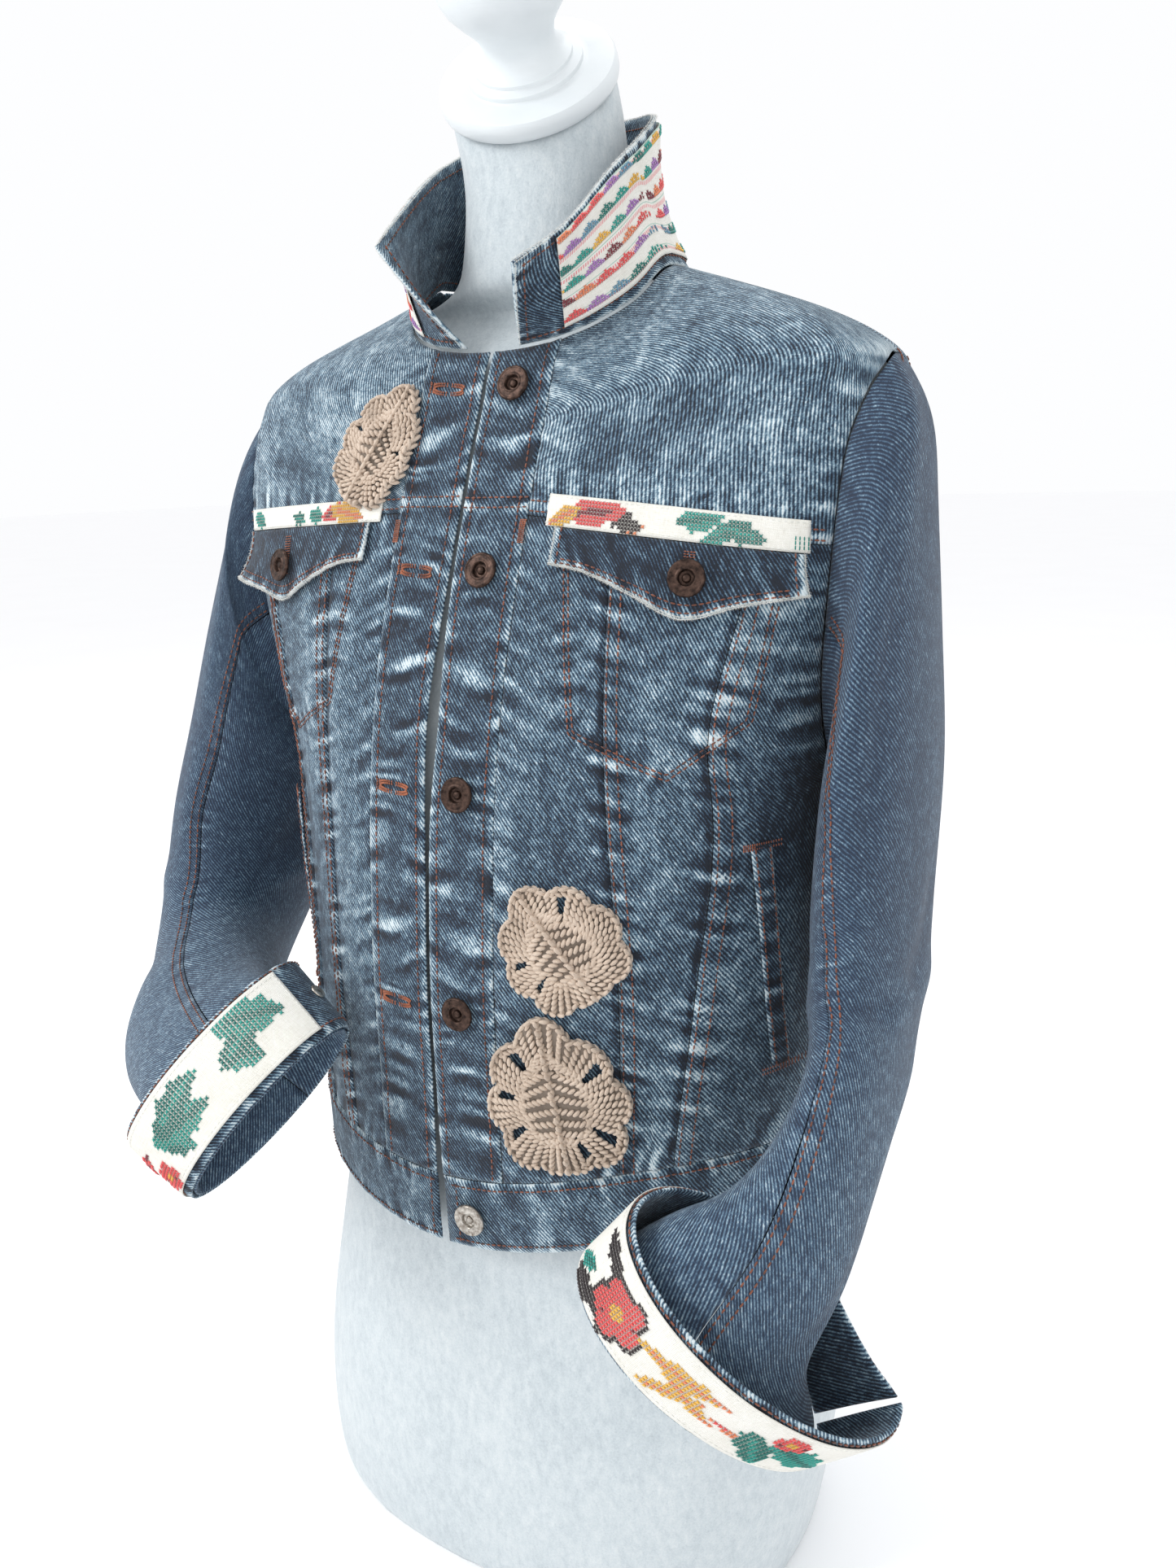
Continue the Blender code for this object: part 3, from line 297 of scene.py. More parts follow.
DENIM = 1.5
TORSO = (
    (0, 166, 138, -114, 97, 0, 2.5, 2.0), (40, 164, 139, -115, 98, 0, 2.5, 2.0),
    (90, 162, 140, -115, 99, 0, 2.5, 2.0), (134, 161, 141, -115, 101, 0, 2.5, 2.0),
    (180, 160, 144, -112, 104, 1, 2.5, 2.02), (234, 162, 149, -106, 108, 3, 2.5, 2.08),
    (280, 166, 161, -96, 110, 4, 2.5, 2.2), (334, 176, 175, -78, 108, 4, 2.5, 2.4),
    (365, 181, 181, -66, 103, 4, 2.5, 2.5), (390, 184, 181, -56, 95, 4, 2.5, 2.5),
    (410, 187, 177, -47, 86, 4, 2.5, 2.5), (425, 186, 168, -41, 80, 4, 2.5, 2.5),
    (437, 170, 150, -34, 75, 8, 2.5, 2.5), (447, 149, 129, -24, 71, 13, 2.5, 2.5),
    (456, 125, 108, -13, 67, 18, 2.5, 2.5), (465, 98, 89, -3, 64, 23, 2.5, 2.5),
    (474, 70, 70, 6, 60, 28, 2.5, 2.5))
SEAMS = (
    (20, 96, 117, 62, 92), (67, 96, 119, 64, 94), (135, 97, 126, 67, 100), (228, 90, 132, 71, 110),
    (261, 87, 129, 73, 114), (320, 83, 139, 78, 130), (362, 80, 146, 79, 140))
NECKLINE_FRONT = ((0, 1.5, 435), (0.2, 18, 436), (0.4, 37, 439), (0.6, 54, 446), (0.8, 66, 457),
                  (1, 70, 474))
NECKLINE_BACK = ((0, 70, 474), (0.35, 62, 471.5), (0.7, 36, 469), (1, 0, 468))
SLEEVE_LEFT = (
    (0.12, (184, 4, 308), (0, -50, 6), (17, 0, 74)), (0.22, (185, 1, 268), (0, -60, 6), (20, 0, 48)),
    (0.33, (187, -4, 228), (0, -64, 8), (22, 2, 24)),
    (0.45, (189, -18, 184), (2, -61, 14), (23, 3, 8)),
    (0.57, (194, -42, 144), (2, -48, 26), (22, 5, 2)),
    (0.69, (200, -86, 105), (2, -24, 34), (18, 4, -4)),
    (0.80, (197, -140, 79), (5, -22, 10), (21, 8, -20)),
    (0.90, (180, -160, 55), (6, -24, -6), (25, 17, -34)),
    (1.00, (163, -156, 20), (7, -30, -9), (42, 22, -40)))
SLEEVE_RIGHT = (
    (0.12, (-177, 4, 303), (0, -50, 6), (-13, 0, 70)), (0.22, (-188, 5, 262), (0, -58, 6), (-24, 0, 46)),
    (0.33, (-202, 6, 222), (0, -60, 8), (-34, 0, 22)),
    (0.45, (-214, 2, 180), (-2, -60, 10), (-38, 0, 6)),
    (0.57, (-223, -8, 134), (4, -56, 18), (-40, -4, -6)),
    (0.68, (-220, -38, 90), (8, -42, 36), (-34, -12, -24)),
    (0.79, (-176, -98, 80), (2, -27, 32), (-28, -28, -27)),
    (0.90, (-107, -155, 97), (6, -16, 12), (-19, -27, -29)),
    (1.00, (-68.5, -157.5, 76), (8, -20, 14), (-22.5, -32, -35)))
NECK_TOP_Z = 474
PLACKET_WIDTH = 37.0
WAISTBAND_HEIGHT = 38.0
UNDERARM_Z = 240.0
SHOULDER_TIP_Z = {1: 425.0, -1: 419.0}
HALF_SEAM = 0.17
BACK_SEAM_SHARE = 0.56
SIDES = {1: "left", -1: "right"}


def shared(first, second):
    """Two arrays of numbers, brought to one shape."""
    return np.broadcast_arrays(np.asarray(first, float), np.asarray(second, float))


def curve(table, index):
    """Smooth curve through one column of a table."""
    rows = np.array([row[0] for row in table], float)
    data = np.array([row[index] for row in table], float)
    slope = np.gradient(data, rows, axis=0)

    def at(value):
        value = np.clip(np.asarray(value, float), rows[0], rows[-1])
        k = np.clip(np.searchsorted(rows, value, side="right") - 1, 0, len(rows) - 2)
        step = rows[k + 1] - rows[k]
        t = (value - rows[k]) / step
        if data.ndim > 1:
            t = t[..., None]
            step = step[..., None]
        return (data[k] + (3 * t * t - 2 * t ** 3) * (data[k + 1] - data[k])
                + (t - 2 * t * t + t ** 3) * step * slope[k]
                + (t ** 3 - t * t) * step * slope[k + 1])
    return at


half_left, half_right, front_y, back_y, mid_y, square_left, square_right = [
    curve(TORSO, index) for index in range(1, 8)]
seam_curves = {(1, 1): curve(SEAMS, 1), (1, 2): curve(SEAMS, 2),
               (-1, 1): curve(SEAMS, 3), (-1, 2): curve(SEAMS, 4)}
neck_front_x, neck_front_z = curve(NECKLINE_FRONT, 1), curve(NECKLINE_FRONT, 2)
neck_back_x, neck_back_z = curve(NECKLINE_BACK, 1), curve(NECKLINE_BACK, 2)


def power(value, exponent):
    return np.sign(value) * np.abs(value) ** exponent


def smooth(t):
    t = np.clip(t, 0.0, 1.0)
    return t * t * (3 - 2 * t)


def unit(vector):
    return vector / np.maximum(np.linalg.norm(vector, axis=-1, keepdims=True), 1e-9)


def hem_z(x, front=True):
    if not front:
        return 19 + 7 * x / 166
    return np.where(x > 0, 26, 12) * smooth(np.abs(x) / 150)


def yoke_z(x):
    return 362 - np.where(x > 0, 19, 8) * (np.abs(x) / 175) ** 1.3


def back_yoke_z(x):
    return 338 + 4 * (np.abs(x) / 170) ** 2


def half_width(z, side):
    return np.where(np.asarray(side) >= 0, half_left(z), half_right(z))


def squareness(z, side, front):
    return np.where((np.asarray(side) < 0) & front, square_right(z), square_left(z))


def torso(angle, z, front):
    """Point of the jacket's outer surface: angle 0 in the middle, + to the left."""
    angle, z = shared(angle, z)
    bend = 2 / squareness(z, angle, front)
    x = half_width(z, angle) * power(np.sin(angle), bend)
    reach = front_y(z) if front else back_y(z)
    y = mid_y(z) + (reach - mid_y(z)) * power(np.cos(angle), bend) + (-0.2 if front else 0.2)
    return np.stack((x, y, z), -1)


def torso_normal(angle, z, front):
    z = np.asarray(z, float)
    across = torso(angle + 0.004, z, front) - torso(angle - 0.004, z, front)
    low = np.maximum(z - 0.6, 0)
    up = torso(angle, np.minimum(low + 1.2, NECK_TOP_Z), front) - torso(angle, low, front)
    return unit(np.cross(across, up)) * (1 if front else -1)


def angle_at_x(x, z, front=True):
    x = np.asarray(x, float)
    ratio = np.minimum(np.abs(x) / half_width(z, x), 1.0)
    return np.sign(x) * np.arcsin(ratio ** (squareness(z, x, front) / 2))


def over_front(x, z, out=0.0):
    """Point over the front at X and height, out millimetres off it."""
    angle = angle_at_x(x, z)
    return torso(angle, z, True) + np.asarray(out)[..., None] * torso_normal(angle, z, True)


def armhole(side, turn):
    """Armhole curve as angle, height and whether it runs on the front."""
    turn = np.asarray(turn, float)
    middle = (SHOULDER_TIP_Z[side] + UNDERARM_Z) / 2
    z = middle + (SHOULDER_TIP_Z[side] - middle) * np.cos(turn)
    front = np.sin(turn) >= 0
    width = np.where(front, 33, 38) * np.abs(np.sin(turn)) ** 0.9
    reach = np.where(front, front_y(z), back_y(z)) - mid_y(z)
    share = np.minimum(width / np.abs(reach), 1.0)
    square = np.where(front, squareness(z, side, True), squareness(z, side, False))
    return side * np.arccos(share ** (square / 2)), z, front


def at_armhole(side, turn):
    """Point and normal of the torso on the armhole curve."""
    angle, z, front = armhole(side, turn)
    choose = front[..., None]
    point = np.where(choose, torso(angle, z, True), torso(angle, z, False))
    normal = np.where(choose, torso_normal(angle, z, True), torso_normal(angle, z, False))
    return point, normal


sleeve_curves = {side: [curve(table, index) for index in (1, 2, 3)]
                 for side, table in ((1, SLEEVE_LEFT), (-1, SLEEVE_RIGHT))}


def sleeve_surface(side, turn, along):
    """Outer surface of a sleeve: turn round it, along from 0 at the armhole."""
    turn, along = shared(turn, along)
    at, front, across = [each(np.maximum(along, 0.12)) for each in sleeve_curves[side]]
    ring = at + np.cos(turn)[..., None] * across + np.sin(turn)[..., None] * front
    start, normal = at_armhole(side, turn)
    share = (along / 0.12)[..., None]
    head = start + (ring - start) * share + 4 * np.sin(np.pi * share) * normal
    return np.where(share < 1, head, ring)


def sleeve_normal(side, turn, along):
    low = np.maximum(np.asarray(along) - 0.01, 0.0)
    high = np.minimum(np.asarray(along) + 0.01, 1.0)
    ahead = sleeve_surface(side, turn, high) - sleeve_surface(side, turn, low)
    across = sleeve_surface(side, turn + 0.02, along) - sleeve_surface(side, turn - 0.02, along)
    return unit(np.cross(across, ahead)) * side


def mitre(side, turn):
    """Direction in which panel and sleeve meet, a layer long."""
    panel_normal = at_armhole(side, turn)[1]
    middle = unit(panel_normal + sleeve_normal(side, turn, 0.0))
    return middle * DENIM / np.maximum((middle * panel_normal).sum(-1, keepdims=True), 0.55)


def measure(points, normals):
    """Lengths along the cloth in metres, running so that the twill leans one way."""
    across = np.linalg.norm(np.diff(points, axis=1), axis=-1)
    u = np.concatenate((np.zeros((len(points), 1)), np.cumsum(across, axis=1)), axis=1)
    u = u - u[:, u.shape[1] // 2][:, None]
    up = np.linalg.norm(np.diff(points, axis=0), axis=-1).mean(axis=1)
    v = np.concatenate(([0.0], np.cumsum(up)))[:, None] + 0 * u
    facing = np.cross(points[1:, :-1] - points[:-1, :-1], points[:-1, 1:] - points[:-1, :-1])
    turned = (facing * normals[:-1, :-1]).sum() > 0
    u = -u if turned else u
    return np.stack((u - u.min(), v), -1) * MM, turned


def wall(name, outer, normals, thick, fade_and_shading, inward=None, rounded=0.28):
    """Closed thin wall of cloth over a grid of points, rounded at its rim."""
    outer = np.array(outer, float)
    rows, cols = outer.shape[:2]
    uv, turned = measure(outer, normals)
    inner = outer - (thick * normals if inward is None else inward)
    rim = np.zeros((rows, cols, 1))
    rim[0] = rim[-1] = rounded
    rim[:, 0] = rim[:, -1] = rounded
    drop = (inner - outer) * rim
    outer = outer + drop
    inner = inner - drop
    place = np.concatenate((outer.reshape(-1, 3), inner.reshape(-1, 3)))
    place[:, 2] += HEM_HEIGHT
    number = np.arange(rows * cols).reshape(rows, cols)
    low = number + rows * cols
    faces = [
        np.stack((number[:-1, :-1], number[:-1, 1:], number[1:, 1:], number[1:, :-1]), -1),
        np.stack((low[:-1, :-1], low[1:, :-1], low[1:, 1:], low[:-1, 1:]), -1),
        np.stack((number[0, 1:], number[0, :-1], low[0, :-1], low[0, 1:]), -1),
        np.stack((number[-1, :-1], number[-1, 1:], low[-1, 1:], low[-1, :-1]), -1),
        np.stack((number[:-1, 0], number[1:, 0], low[1:, 0], low[:-1, 0]), -1),
        np.stack((number[1:, -1], number[:-1, -1], low[:-1, -1], low[1:, -1]), -1)]
    faces = np.concatenate([each.reshape(-1, 4) for each in faces])
    if turned:
        faces = faces[:, ::-1]
    mesh = bpy.data.meshes.new(name)
    mesh.from_pydata(place * MM, [], faces.tolist())
    flat = np.concatenate((uv.reshape(-1, 2), uv.reshape(-1, 2)))
    corners = np.empty(len(mesh.loops), int)
    mesh.loops.foreach_get("vertex_index", corners)
    mesh.uv_layers.new(name="cloth").data.foreach_set("uv", flat[corners].ravel())
    tone = np.broadcast_to(np.asarray(fade_and_shading, float), (rows, cols)).ravel()
    mesh.attributes.new("fade_and_shading", "FLOAT", "POINT").data.foreach_set(
        "value", np.concatenate((tone, tone * 0.3)))
    return mesh


def pair(angle, z):
    return np.stack(shared(angle, z), -1)


def patch(left, right, bottom, top, cols, rows):
    """Grid between four edges, each a function of shares from 0 to 1."""
    u = np.linspace(0, 1, cols + 1)
    v = np.linspace(0, 1, rows + 1)
    starts, ends, floor, roof = left(v), right(v), bottom(u), top(u)
    u = u[None, :, None]
    v = v[:, None, None]
    flat = ((1 - u) * (1 - v) * floor[0] + u * (1 - v) * floor[-1]
            + (1 - u) * v * roof[0] + u * v * roof[-1])
    return (1 - v) * floor[None] + v * roof[None] + (1 - u) * starts[:, None] + u * ends[:, None] - flat


def ripple(s, seed, scale=1.0):
    """Uneven wave between about -1 and 1, as cloth puckers along a seam."""
    s = np.asarray(s, float) / scale
    pace = 0.62 + 0.38 * np.sin(s / 9.7 + seed * 3.1) * np.sin(s / 5.3 + seed)
    return pace * (np.sin(s / 1.61 + seed * 1.7 + 1.3 * np.sin(s / 7.1 + seed))
                   + 0.8 * np.sin(s / 2.47 + seed * 2.9) + 0.5 * np.sin(s / 1.07 + seed * 4.3)) / 1.6


def near(distance, width):
    return np.exp(-(distance / width) ** 2)


def lapped(distance, width=7.5, rise=0.55):
    """A seam that is folded over and stitched down beyond its line."""
    return rise * smooth(distance / 1.2) * smooth((width - distance) / 2.0) - 0.5 * near(distance + 0.6, 1.3)


def creases(x, z, table):
    """Soft ridges and troughs, listed as from, to, width and height."""
    total = np.zeros(np.broadcast(x, z).shape)
    for x0, z0, x1, z1, width, height in table:
        run = np.array((x1 - x0, z1 - z0), float)
        length = np.hypot(*run)
        along = ((x - x0) * run[0] + (z - z0) * run[1]) / length ** 2
        off = ((x - x0) * run[1] - (z - z0) * run[0]) / length
        off = off + 0.06 * length * np.sin(3.1 * np.clip(along, 0, 1) + x0)
        ends = smooth((along + 0.12) / 0.3) * smooth((1.12 - along) / 0.3)
        total += height * near(off, width) * ends
    return total


def denim(name, wash=0.0, contrast=1.0, mottle=1.0, blue=0.0):
    """Stonewashed twill: fine slanting ribs of indigo over a pale weft."""
    look = Finish(name, Roughness=0.86, Sheen_Weight=0.12)
    cloth = look.stretched(look.cloth_place(), 1000, 1000)
    across, along, _ = look.parts(cloth)
    wander = look.noise(look.stretched(cloth, 1, 0.35), 0.35, 2)
    over_rib = across * 0.80 + along * 0.60
    rib = (over_rib * (2 * math.pi / 1.5) + wander * 2.2).sine() * 0.5 + 0.5
    down_rib = look.add("CombineXYZ", X=over_rib * 0.62, Y=(along * 0.80 - across * 0.60) * 0.24)
    streak = look.noise(down_rib, 1.0, 3, 0.65)
    yarn = look.noise(look.stretched(cloth, 1, 0.12), 1.6, 3, 0.7)
    fleck = look.noise(look.stretched(cloth, 0.45, 1), 1.7, 3, 0.75)
    stone = look.noise(cloth, 0.09, 4, 0.62)
    cloud = look.noise(look.stretched(cloth, 1, 0.5), 0.018, 3)
    weave = (rib - 0.5) * 0.50 + (yarn - 0.5) * 0.7 + (fleck - 0.5) * 0.9 + (streak - 0.5) * 1.0
    broken = (look.noise(look.stretched(cloth, 1, 0.6), 0.22, 3, 0.6) * 2.6 - 0.5).held(0.0, 1.5)
    # The marked term is stonewash fade on ridges, seams and edges; on the sleeves it also holds painted
    # shading, darker at the upper arm and lighter at the forearm.
    tone = (0.36 + wash + look.marked("fade_and_shading") * broken * (0.58 * contrast) + weave * 1.05
            + (stone - 0.5) * (0.8 * mottle) + (cloud - 0.5) * (0.45 * mottle))
    tint = look.add("ValToRGB", Fac=tone.held(), stops=(
        (0.04, linear(14, 23, 36)), (0.25, linear(38, 58, 80)), (0.47, linear(77, 103, 122)),
        (0.68, linear(132, 159, 174)), (0.92, linear(204, 215, 219))))
    if blue:
        tint = look.mix(blue, tint, linear(74, 98, 134))
    return look.wear(tint, rough=0.80 + yarn * 0.15, height=rib * 0.6 + yarn * 0.5 + fleck * 0.4,
                     depth=0.00035, strength=0.7)


body_denim = denim("stonewashed denim body", 0.02, 1.0, 1.0)

# Main folds of the fronts and the back, as from X, Z to X, Z, width, height.
FRONT_CREASES = (
    (150, 330, 118, 250, 9, 1.6), (158, 250, 132, 150, 12, -1.5), (112, 300, 106, 190, 9, 1.0),
    (60, 300, 52, 120, 10, 0.9), (140, 200, 120, 60, 12, 1.3), (46, 230, 70, 60, 12, -0.9),
    (150, 90, 60, 44, 12, 0.8), (120, 415, 60, 380, 14, -1.2), (160, 400, 110, 372, 11, 0.9),
    (46, 425, 50, 370, 7, 0.9), (-60, 330, -52, 200, 10, 1.0), (-100, 320, -86, 220, 10, 1.2),
    (-120, 260, -96, 120, 12, -1.2), (-56, 200, -80, 60, 11, 0.9), (-120, 130, -70, 50, 11, 0.9),
    (-110, 420, -70, 385, 14, 1.2), (-140, 395, -90, 370, 11, -1.0), (-46, 425, -50, 372, 7, 0.8))
BACK_CREASES = (
    (-60, 330, -40, 120, 14, -1.4), (30, 320, 60, 90, 15, 1.4), (80, 260, 40, 60, 13, -1.2),
    (-90, 240, -60, 60, 13, 1.3), (140, 300, 120, 120, 12, 1.3), (-140, 300, -115, 110, 12, 1.3),
    (0, 200, 10, 60, 12, 1.0), (110, 430, 40, 380, 14, 1.1), (-110, 425, -40, 375, 14, -1.1),
    (150, 390, 70, 352, 12, -1.0), (-150, 385, -70, 350, 12, 1.0), (-20, 440, 20, 400, 12, 0.9))
POCKETS = {1: ((61, 336), (72, 265), (114, 246), (143, 269), (151, 318)),
           -1: ((-61, 338), (-70, 270), (-104, 252), (-130, 272), (-137, 318))}
LAID = ((-158, 312, 162, 362), (134, 96, 166, 220), (-134, 96, -112, 220), (34, 44, 110, 205),
        (-90, 350, -24, 430))


def to_path(x, z, path):
    """Shortest distance to a path and the length along it there."""
    best = np.full(np.broadcast(x, z).shape, 1e9)
    where = np.zeros(best.shape)
    start = 0.0
    for (x0, z0), (x1, z1) in zip(path[:-1], path[1:]):
        length = math.hypot(x1 - x0, z1 - z0)
        share = np.clip(((x - x0) * (x1 - x0) + (z - z0) * (z1 - z0)) / length ** 2, 0, 1)
        off = np.hypot(x - x0 - share * (x1 - x0), z - z0 - share * (z1 - z0))
        where = np.where(off < best, start + share * length, where)
        best = np.minimum(off, best)
        start += length
    return best, where


def front_relief(x, z, side):
    """Height in mm and fade of a front, at X and height above the hem."""
    reach = np.abs(x)
    seed = 3 if side > 0 else 8
    height = creases(x, z, FRONT_CREASES)
    fade_and_shading = 0.25 * height + np.where(z > yoke_z(x), 0.12, -0.14)
    for index in (1, 2):
        off = reach - seam_curves[side, index](z)
        below = z < yoke_z(x) - 1
        wave = ripple(z + 0.3 * off, seed + index) * near(off - 2, 9) * below
        height = height + 0.30 * wave + lapped(off) * below
        fade_and_shading = fade_and_shading + 1.25 * wave + 0.35 * near(off - 1, 1.4) - 0.8 * near(off + 1.2, 1.4) * below
    off = reach - PLACKET_WIDTH
    wave = ripple(z + 0.4 * off, seed + 5) * near(off, 11)
    height = height + 0.3 * wave
    fade_and_shading = fade_and_shading + 0.8 * wave
    off = z - yoke_z(x)
    wave = ripple(x + 0.2 * off, seed + 9, 0.85) * np.where(off > 0, near(off - 5, 13), near(off, 9))
    height = height + 0.34 * wave + lapped(off) * (reach > 30)
    fade_and_shading = fade_and_shading + 1.1 * wave - 0.6 * near(off + 1.0, 1.6)
    off = z - hem_z(x) - WAISTBAND_HEIGHT
    wave = ripple(x - 0.3 * off, seed + 13) * near(off, 14)
    height = height + 0.34 * wave
    fade_and_shading = fade_and_shading + 0.9 * wave
    off, where = to_path(x, z, POCKETS[side])
    wave = ripple(where, seed + 17) * near(off, 8)
    height = height + 0.3 * wave - 0.35 * near(off, 1.6)
    fade_and_shading = fade_and_shading + 0.7 * wave
    angle, rim, _ = armhole(side, np.linspace(0.2, math.pi, 60))
    hole = torso(angle, rim, True)
    off, where = to_path(x, z, list(zip(hole[:, 0], hole[:, 2])))
    wave = ripple(where, seed + 21) * near(off, 11)
    height = height + 0.35 * wave + 0.35 * smooth((9 - off) / 2)
    fade_and_shading = fade_and_shading + 1.0 * wave
    for x0, z0, x1, z1 in LAID:
        inside = (x > x0) & (x < x1) & (z > z0) & (z < z1)
        height = np.where(inside, np.minimum(height, 0.3), height)
    return np.clip(height, -3, 1.8), fade_and_shading


def back_relief(x, z):
    """Height in mm and fade of the back."""
    height = creases(x, z, BACK_CREASES)
    fade_and_shading = 0.2 * height
    seam = BACK_SEAM_SHARE * half_width(z, x)
    off = np.abs(x) - seam
    below = z < back_yoke_z(x) - 1
    wave = ripple(z + 0.3 * off, 31) * near(off - 2, 9) * below
    height = height + 0.30 * wave + lapped(off) * below
    fade_and_shading = fade_and_shading + 1.2 * wave - 0.8 * near(off + 1.2, 1.4) * below
    off = z - back_yoke_z(x)
    wave = ripple(x, 35, 0.85) * near(off - 3, 11)
    height = height + 0.5 * wave + lapped(off)
    fade_and_shading = fade_and_shading + 1.1 * wave - 0.6 * near(off + 1.0, 1.6)
    off = z - hem_z(x, False) - WAISTBAND_HEIGHT
    wave = ripple(x, 39) * near(off, 14)
    return np.clip(height + 0.5 * wave, -3, 1.8), fade_and_shading + 1.0 * wave


def panel(name, grid, front, side, material, mitres=None):
    """Denim piece of the body over a grid of angles and heights."""
    angle, z = grid[..., 0], grid[..., 1]
    point = torso(angle, z, front)
    normal = torso_normal(angle, z, front)
    x = point[..., 0]
    height, fade_and_shading = front_relief(x, z, side) if front else back_relief(x, z)
    hold = np.ones(height.shape)
    inward = DENIM * normal
    for column, rows, turns in mitres or ():
        inward[rows, column] = mitre(side if side else (1 if column else -1), turns)
        steps = np.abs(np.arange(height.shape[1]) - (column % height.shape[1]))
        hold[rows] = np.minimum(hold[rows], smooth(steps / 3)[None, :])
    mesh = wall(name, point + (height * hold)[..., None] * normal, normal, DENIM, fade_and_shading,
                inward=inward, rounded=0.12)
    return finished(name + "_cloth", mesh, material, name, [name])


def inset_line(x_of_z, z0, z1, gap, front=True):
    def edge(v):
        z = z0 + (z1 - z0) * v
        return pair(angle_at_x(x_of_z(z) + gap, z, front), z)
    return edge


def level_line(z_of_x, left, right, gap, front=True):
    def edge(u):
        angle = left[0] + (right[0] - left[0]) * u
        z = left[1] + (right[1] - left[1]) * u
        for _ in range(3):
            z = z_of_x(torso(angle, z, front)[..., 0]) + gap
        return pair(angle, z)
    return edge


def band_top(x):
    return hem_z(x) + WAISTBAND_HEIGHT


def back_band_top(x):
    return hem_z(x, False) + WAISTBAND_HEIGHT


def meeting(z_of_x, x_of_z, gap):
    z = z_of_x(x_of_z(200.0))
    for _ in range(4):
        z = z_of_x(x_of_z(z)) + gap
    return z


def seam_line(side, index):
    return lambda z: side * seam_curves[side, index](z)


def placket_line(side):
    return lambda z: side * (PLACKET_WIDTH + 0 * np.asarray(z, float))


def back_seam(side):
    return lambda z: side * BACK_SEAM_SHARE * half_width(z, side)


def front_strip(name, side, inner_line, outer_line, cols, rows):
    edges = [inset_line(line, meeting(band_top, line, HALF_SEAM), meeting(yoke_z, line, -HALF_SEAM),
                        side * sign * HALF_SEAM)
             for line, sign in ((inner_line, 1), (outer_line, -1))]
    left, right = edges
    bottom = level_line(band_top, left(np.array(0.0)), right(np.array(0.0)), HALF_SEAM)
    top = level_line(yoke_z, left(np.array(1.0)), right(np.array(1.0)), -HALF_SEAM)
    panel(name, patch(left, right, bottom, top, cols, rows), True, side, body_denim)


def armhole_edge(side, turn):
    angle, z, _ = armhole(side, turn)
    middle = (SHOULDER_TIP_Z[side] + UNDERARM_Z) / 2
    angle = np.where(np.abs(np.sin(turn)) > 0.15, side * (np.abs(angle) - 0.005), angle)
    return pair(angle, middle + (z - middle) * 1.01125)


def turn_at_yoke(side, front):
    """Turn of the armhole where the yoke seam reaches it."""
    seam = yoke_z if front else back_yoke_z
    low, high = 0.3, 2.2 if front else 2.6
    for _ in range(40):
        turn = (low + high) / 2
        angle, z, _ = armhole(side, turn if front else -turn)
        low, high = (turn, high) if z > seam(torso(angle, z, front)[..., 0]) else (low, turn)
    return turn


def side_panel(side, front):
    """Panel under the arm: side seam below, armhole above."""
    line = seam_line(side, 2) if front else back_seam(side)
    turn = turn_at_yoke(side, front)
    last = turn if front else 2 * math.pi - turn
    floor = band_top if front else back_band_top
    roof = yoke_z if front else back_yoke_z
    left = inset_line(line, meeting(floor, line, HALF_SEAM), meeting(roof, line, -HALF_SEAM),
                      side * HALF_SEAM, front)
    start_z = floor(side * half_width(40, side)) + HALF_SEAM

    def hole(v):
        return armhole_edge(side, math.pi + (last - math.pi) * (v - 0.5) / 0.5)

    def right(v):
        low = pair(side * math.pi / 2, start_z + (hole(np.array(0.5))[1] - start_z) * v / 0.5)
        edge = np.where((np.asarray(v) <= 0.5)[..., None], low, hole(v))
        return edge - pair(0, np.where(np.asarray(v) > 0.999, HALF_SEAM, 0))

    bottom = level_line(floor, left(np.array(0.0)), right(np.array(0.0)), HALF_SEAM, front)
    top = level_line(roof, left(np.array(1.0)), right(np.array(1.0)), -HALF_SEAM, front)
    rows = 120
    grid = patch(left, right, bottom, top, 30 if front else 24, rows)
    upper = np.arange(rows // 2, rows + 1)
    turns = math.pi + (last - math.pi) * (upper / rows - 0.5) / 0.5
    name = f"{'front' if front else 'back'}_side_panel_{SIDES[side]}"
    panel(name, grid, front, side, body_denim, [(-1, upper, turns)])


def ridge(share, side):
    return NECK_TOP_Z + (SHOULDER_TIP_Z[side] - NECK_TOP_Z) * share


def front_yoke(side):
    line = placket_line(side)
    low = meeting(yoke_z, line, HALF_SEAM)
    neck_part = 0.42

    def top(u):
        share = 0.4 + 0.6 * u / neck_part
        z = neck_front_z(share) - HALF_SEAM
        x = np.where(u == 0, PLACKET_WIDTH + HALF_SEAM, neck_front_x(share))
        neck = pair(angle_at_x(side * x, z), z)
        slope = pair(side * math.pi / 2, ridge((u - neck_part) / (1 - neck_part), side))
        return np.where((u < neck_part)[..., None], neck, slope)

    left = inset_line(line, low, top(np.array(0.0))[1], side * HALF_SEAM)
    last = turn_at_yoke(side, True)

    def right(v):
        edge = armhole_edge(side, last * (1 - v)) + pair(0, np.where(v == 0, HALF_SEAM, 0))
        tip = pair(side * math.pi / 2, ridge(1.0, side) + 0 * v)
        return np.where((v > 0.999)[..., None], tip, edge)

    bottom = level_line(yoke_z, left(np.array(0.0)), right(np.array(0.0)), HALF_SEAM)
    rows = 50
    grid = patch(left, right, bottom, top, 72, rows)
    panel(f"front_yoke_{SIDES[side]}", grid, True, side, body_denim,
          [(-1, np.arange(rows + 1), last * (1 - np.arange(rows + 1) / rows))])


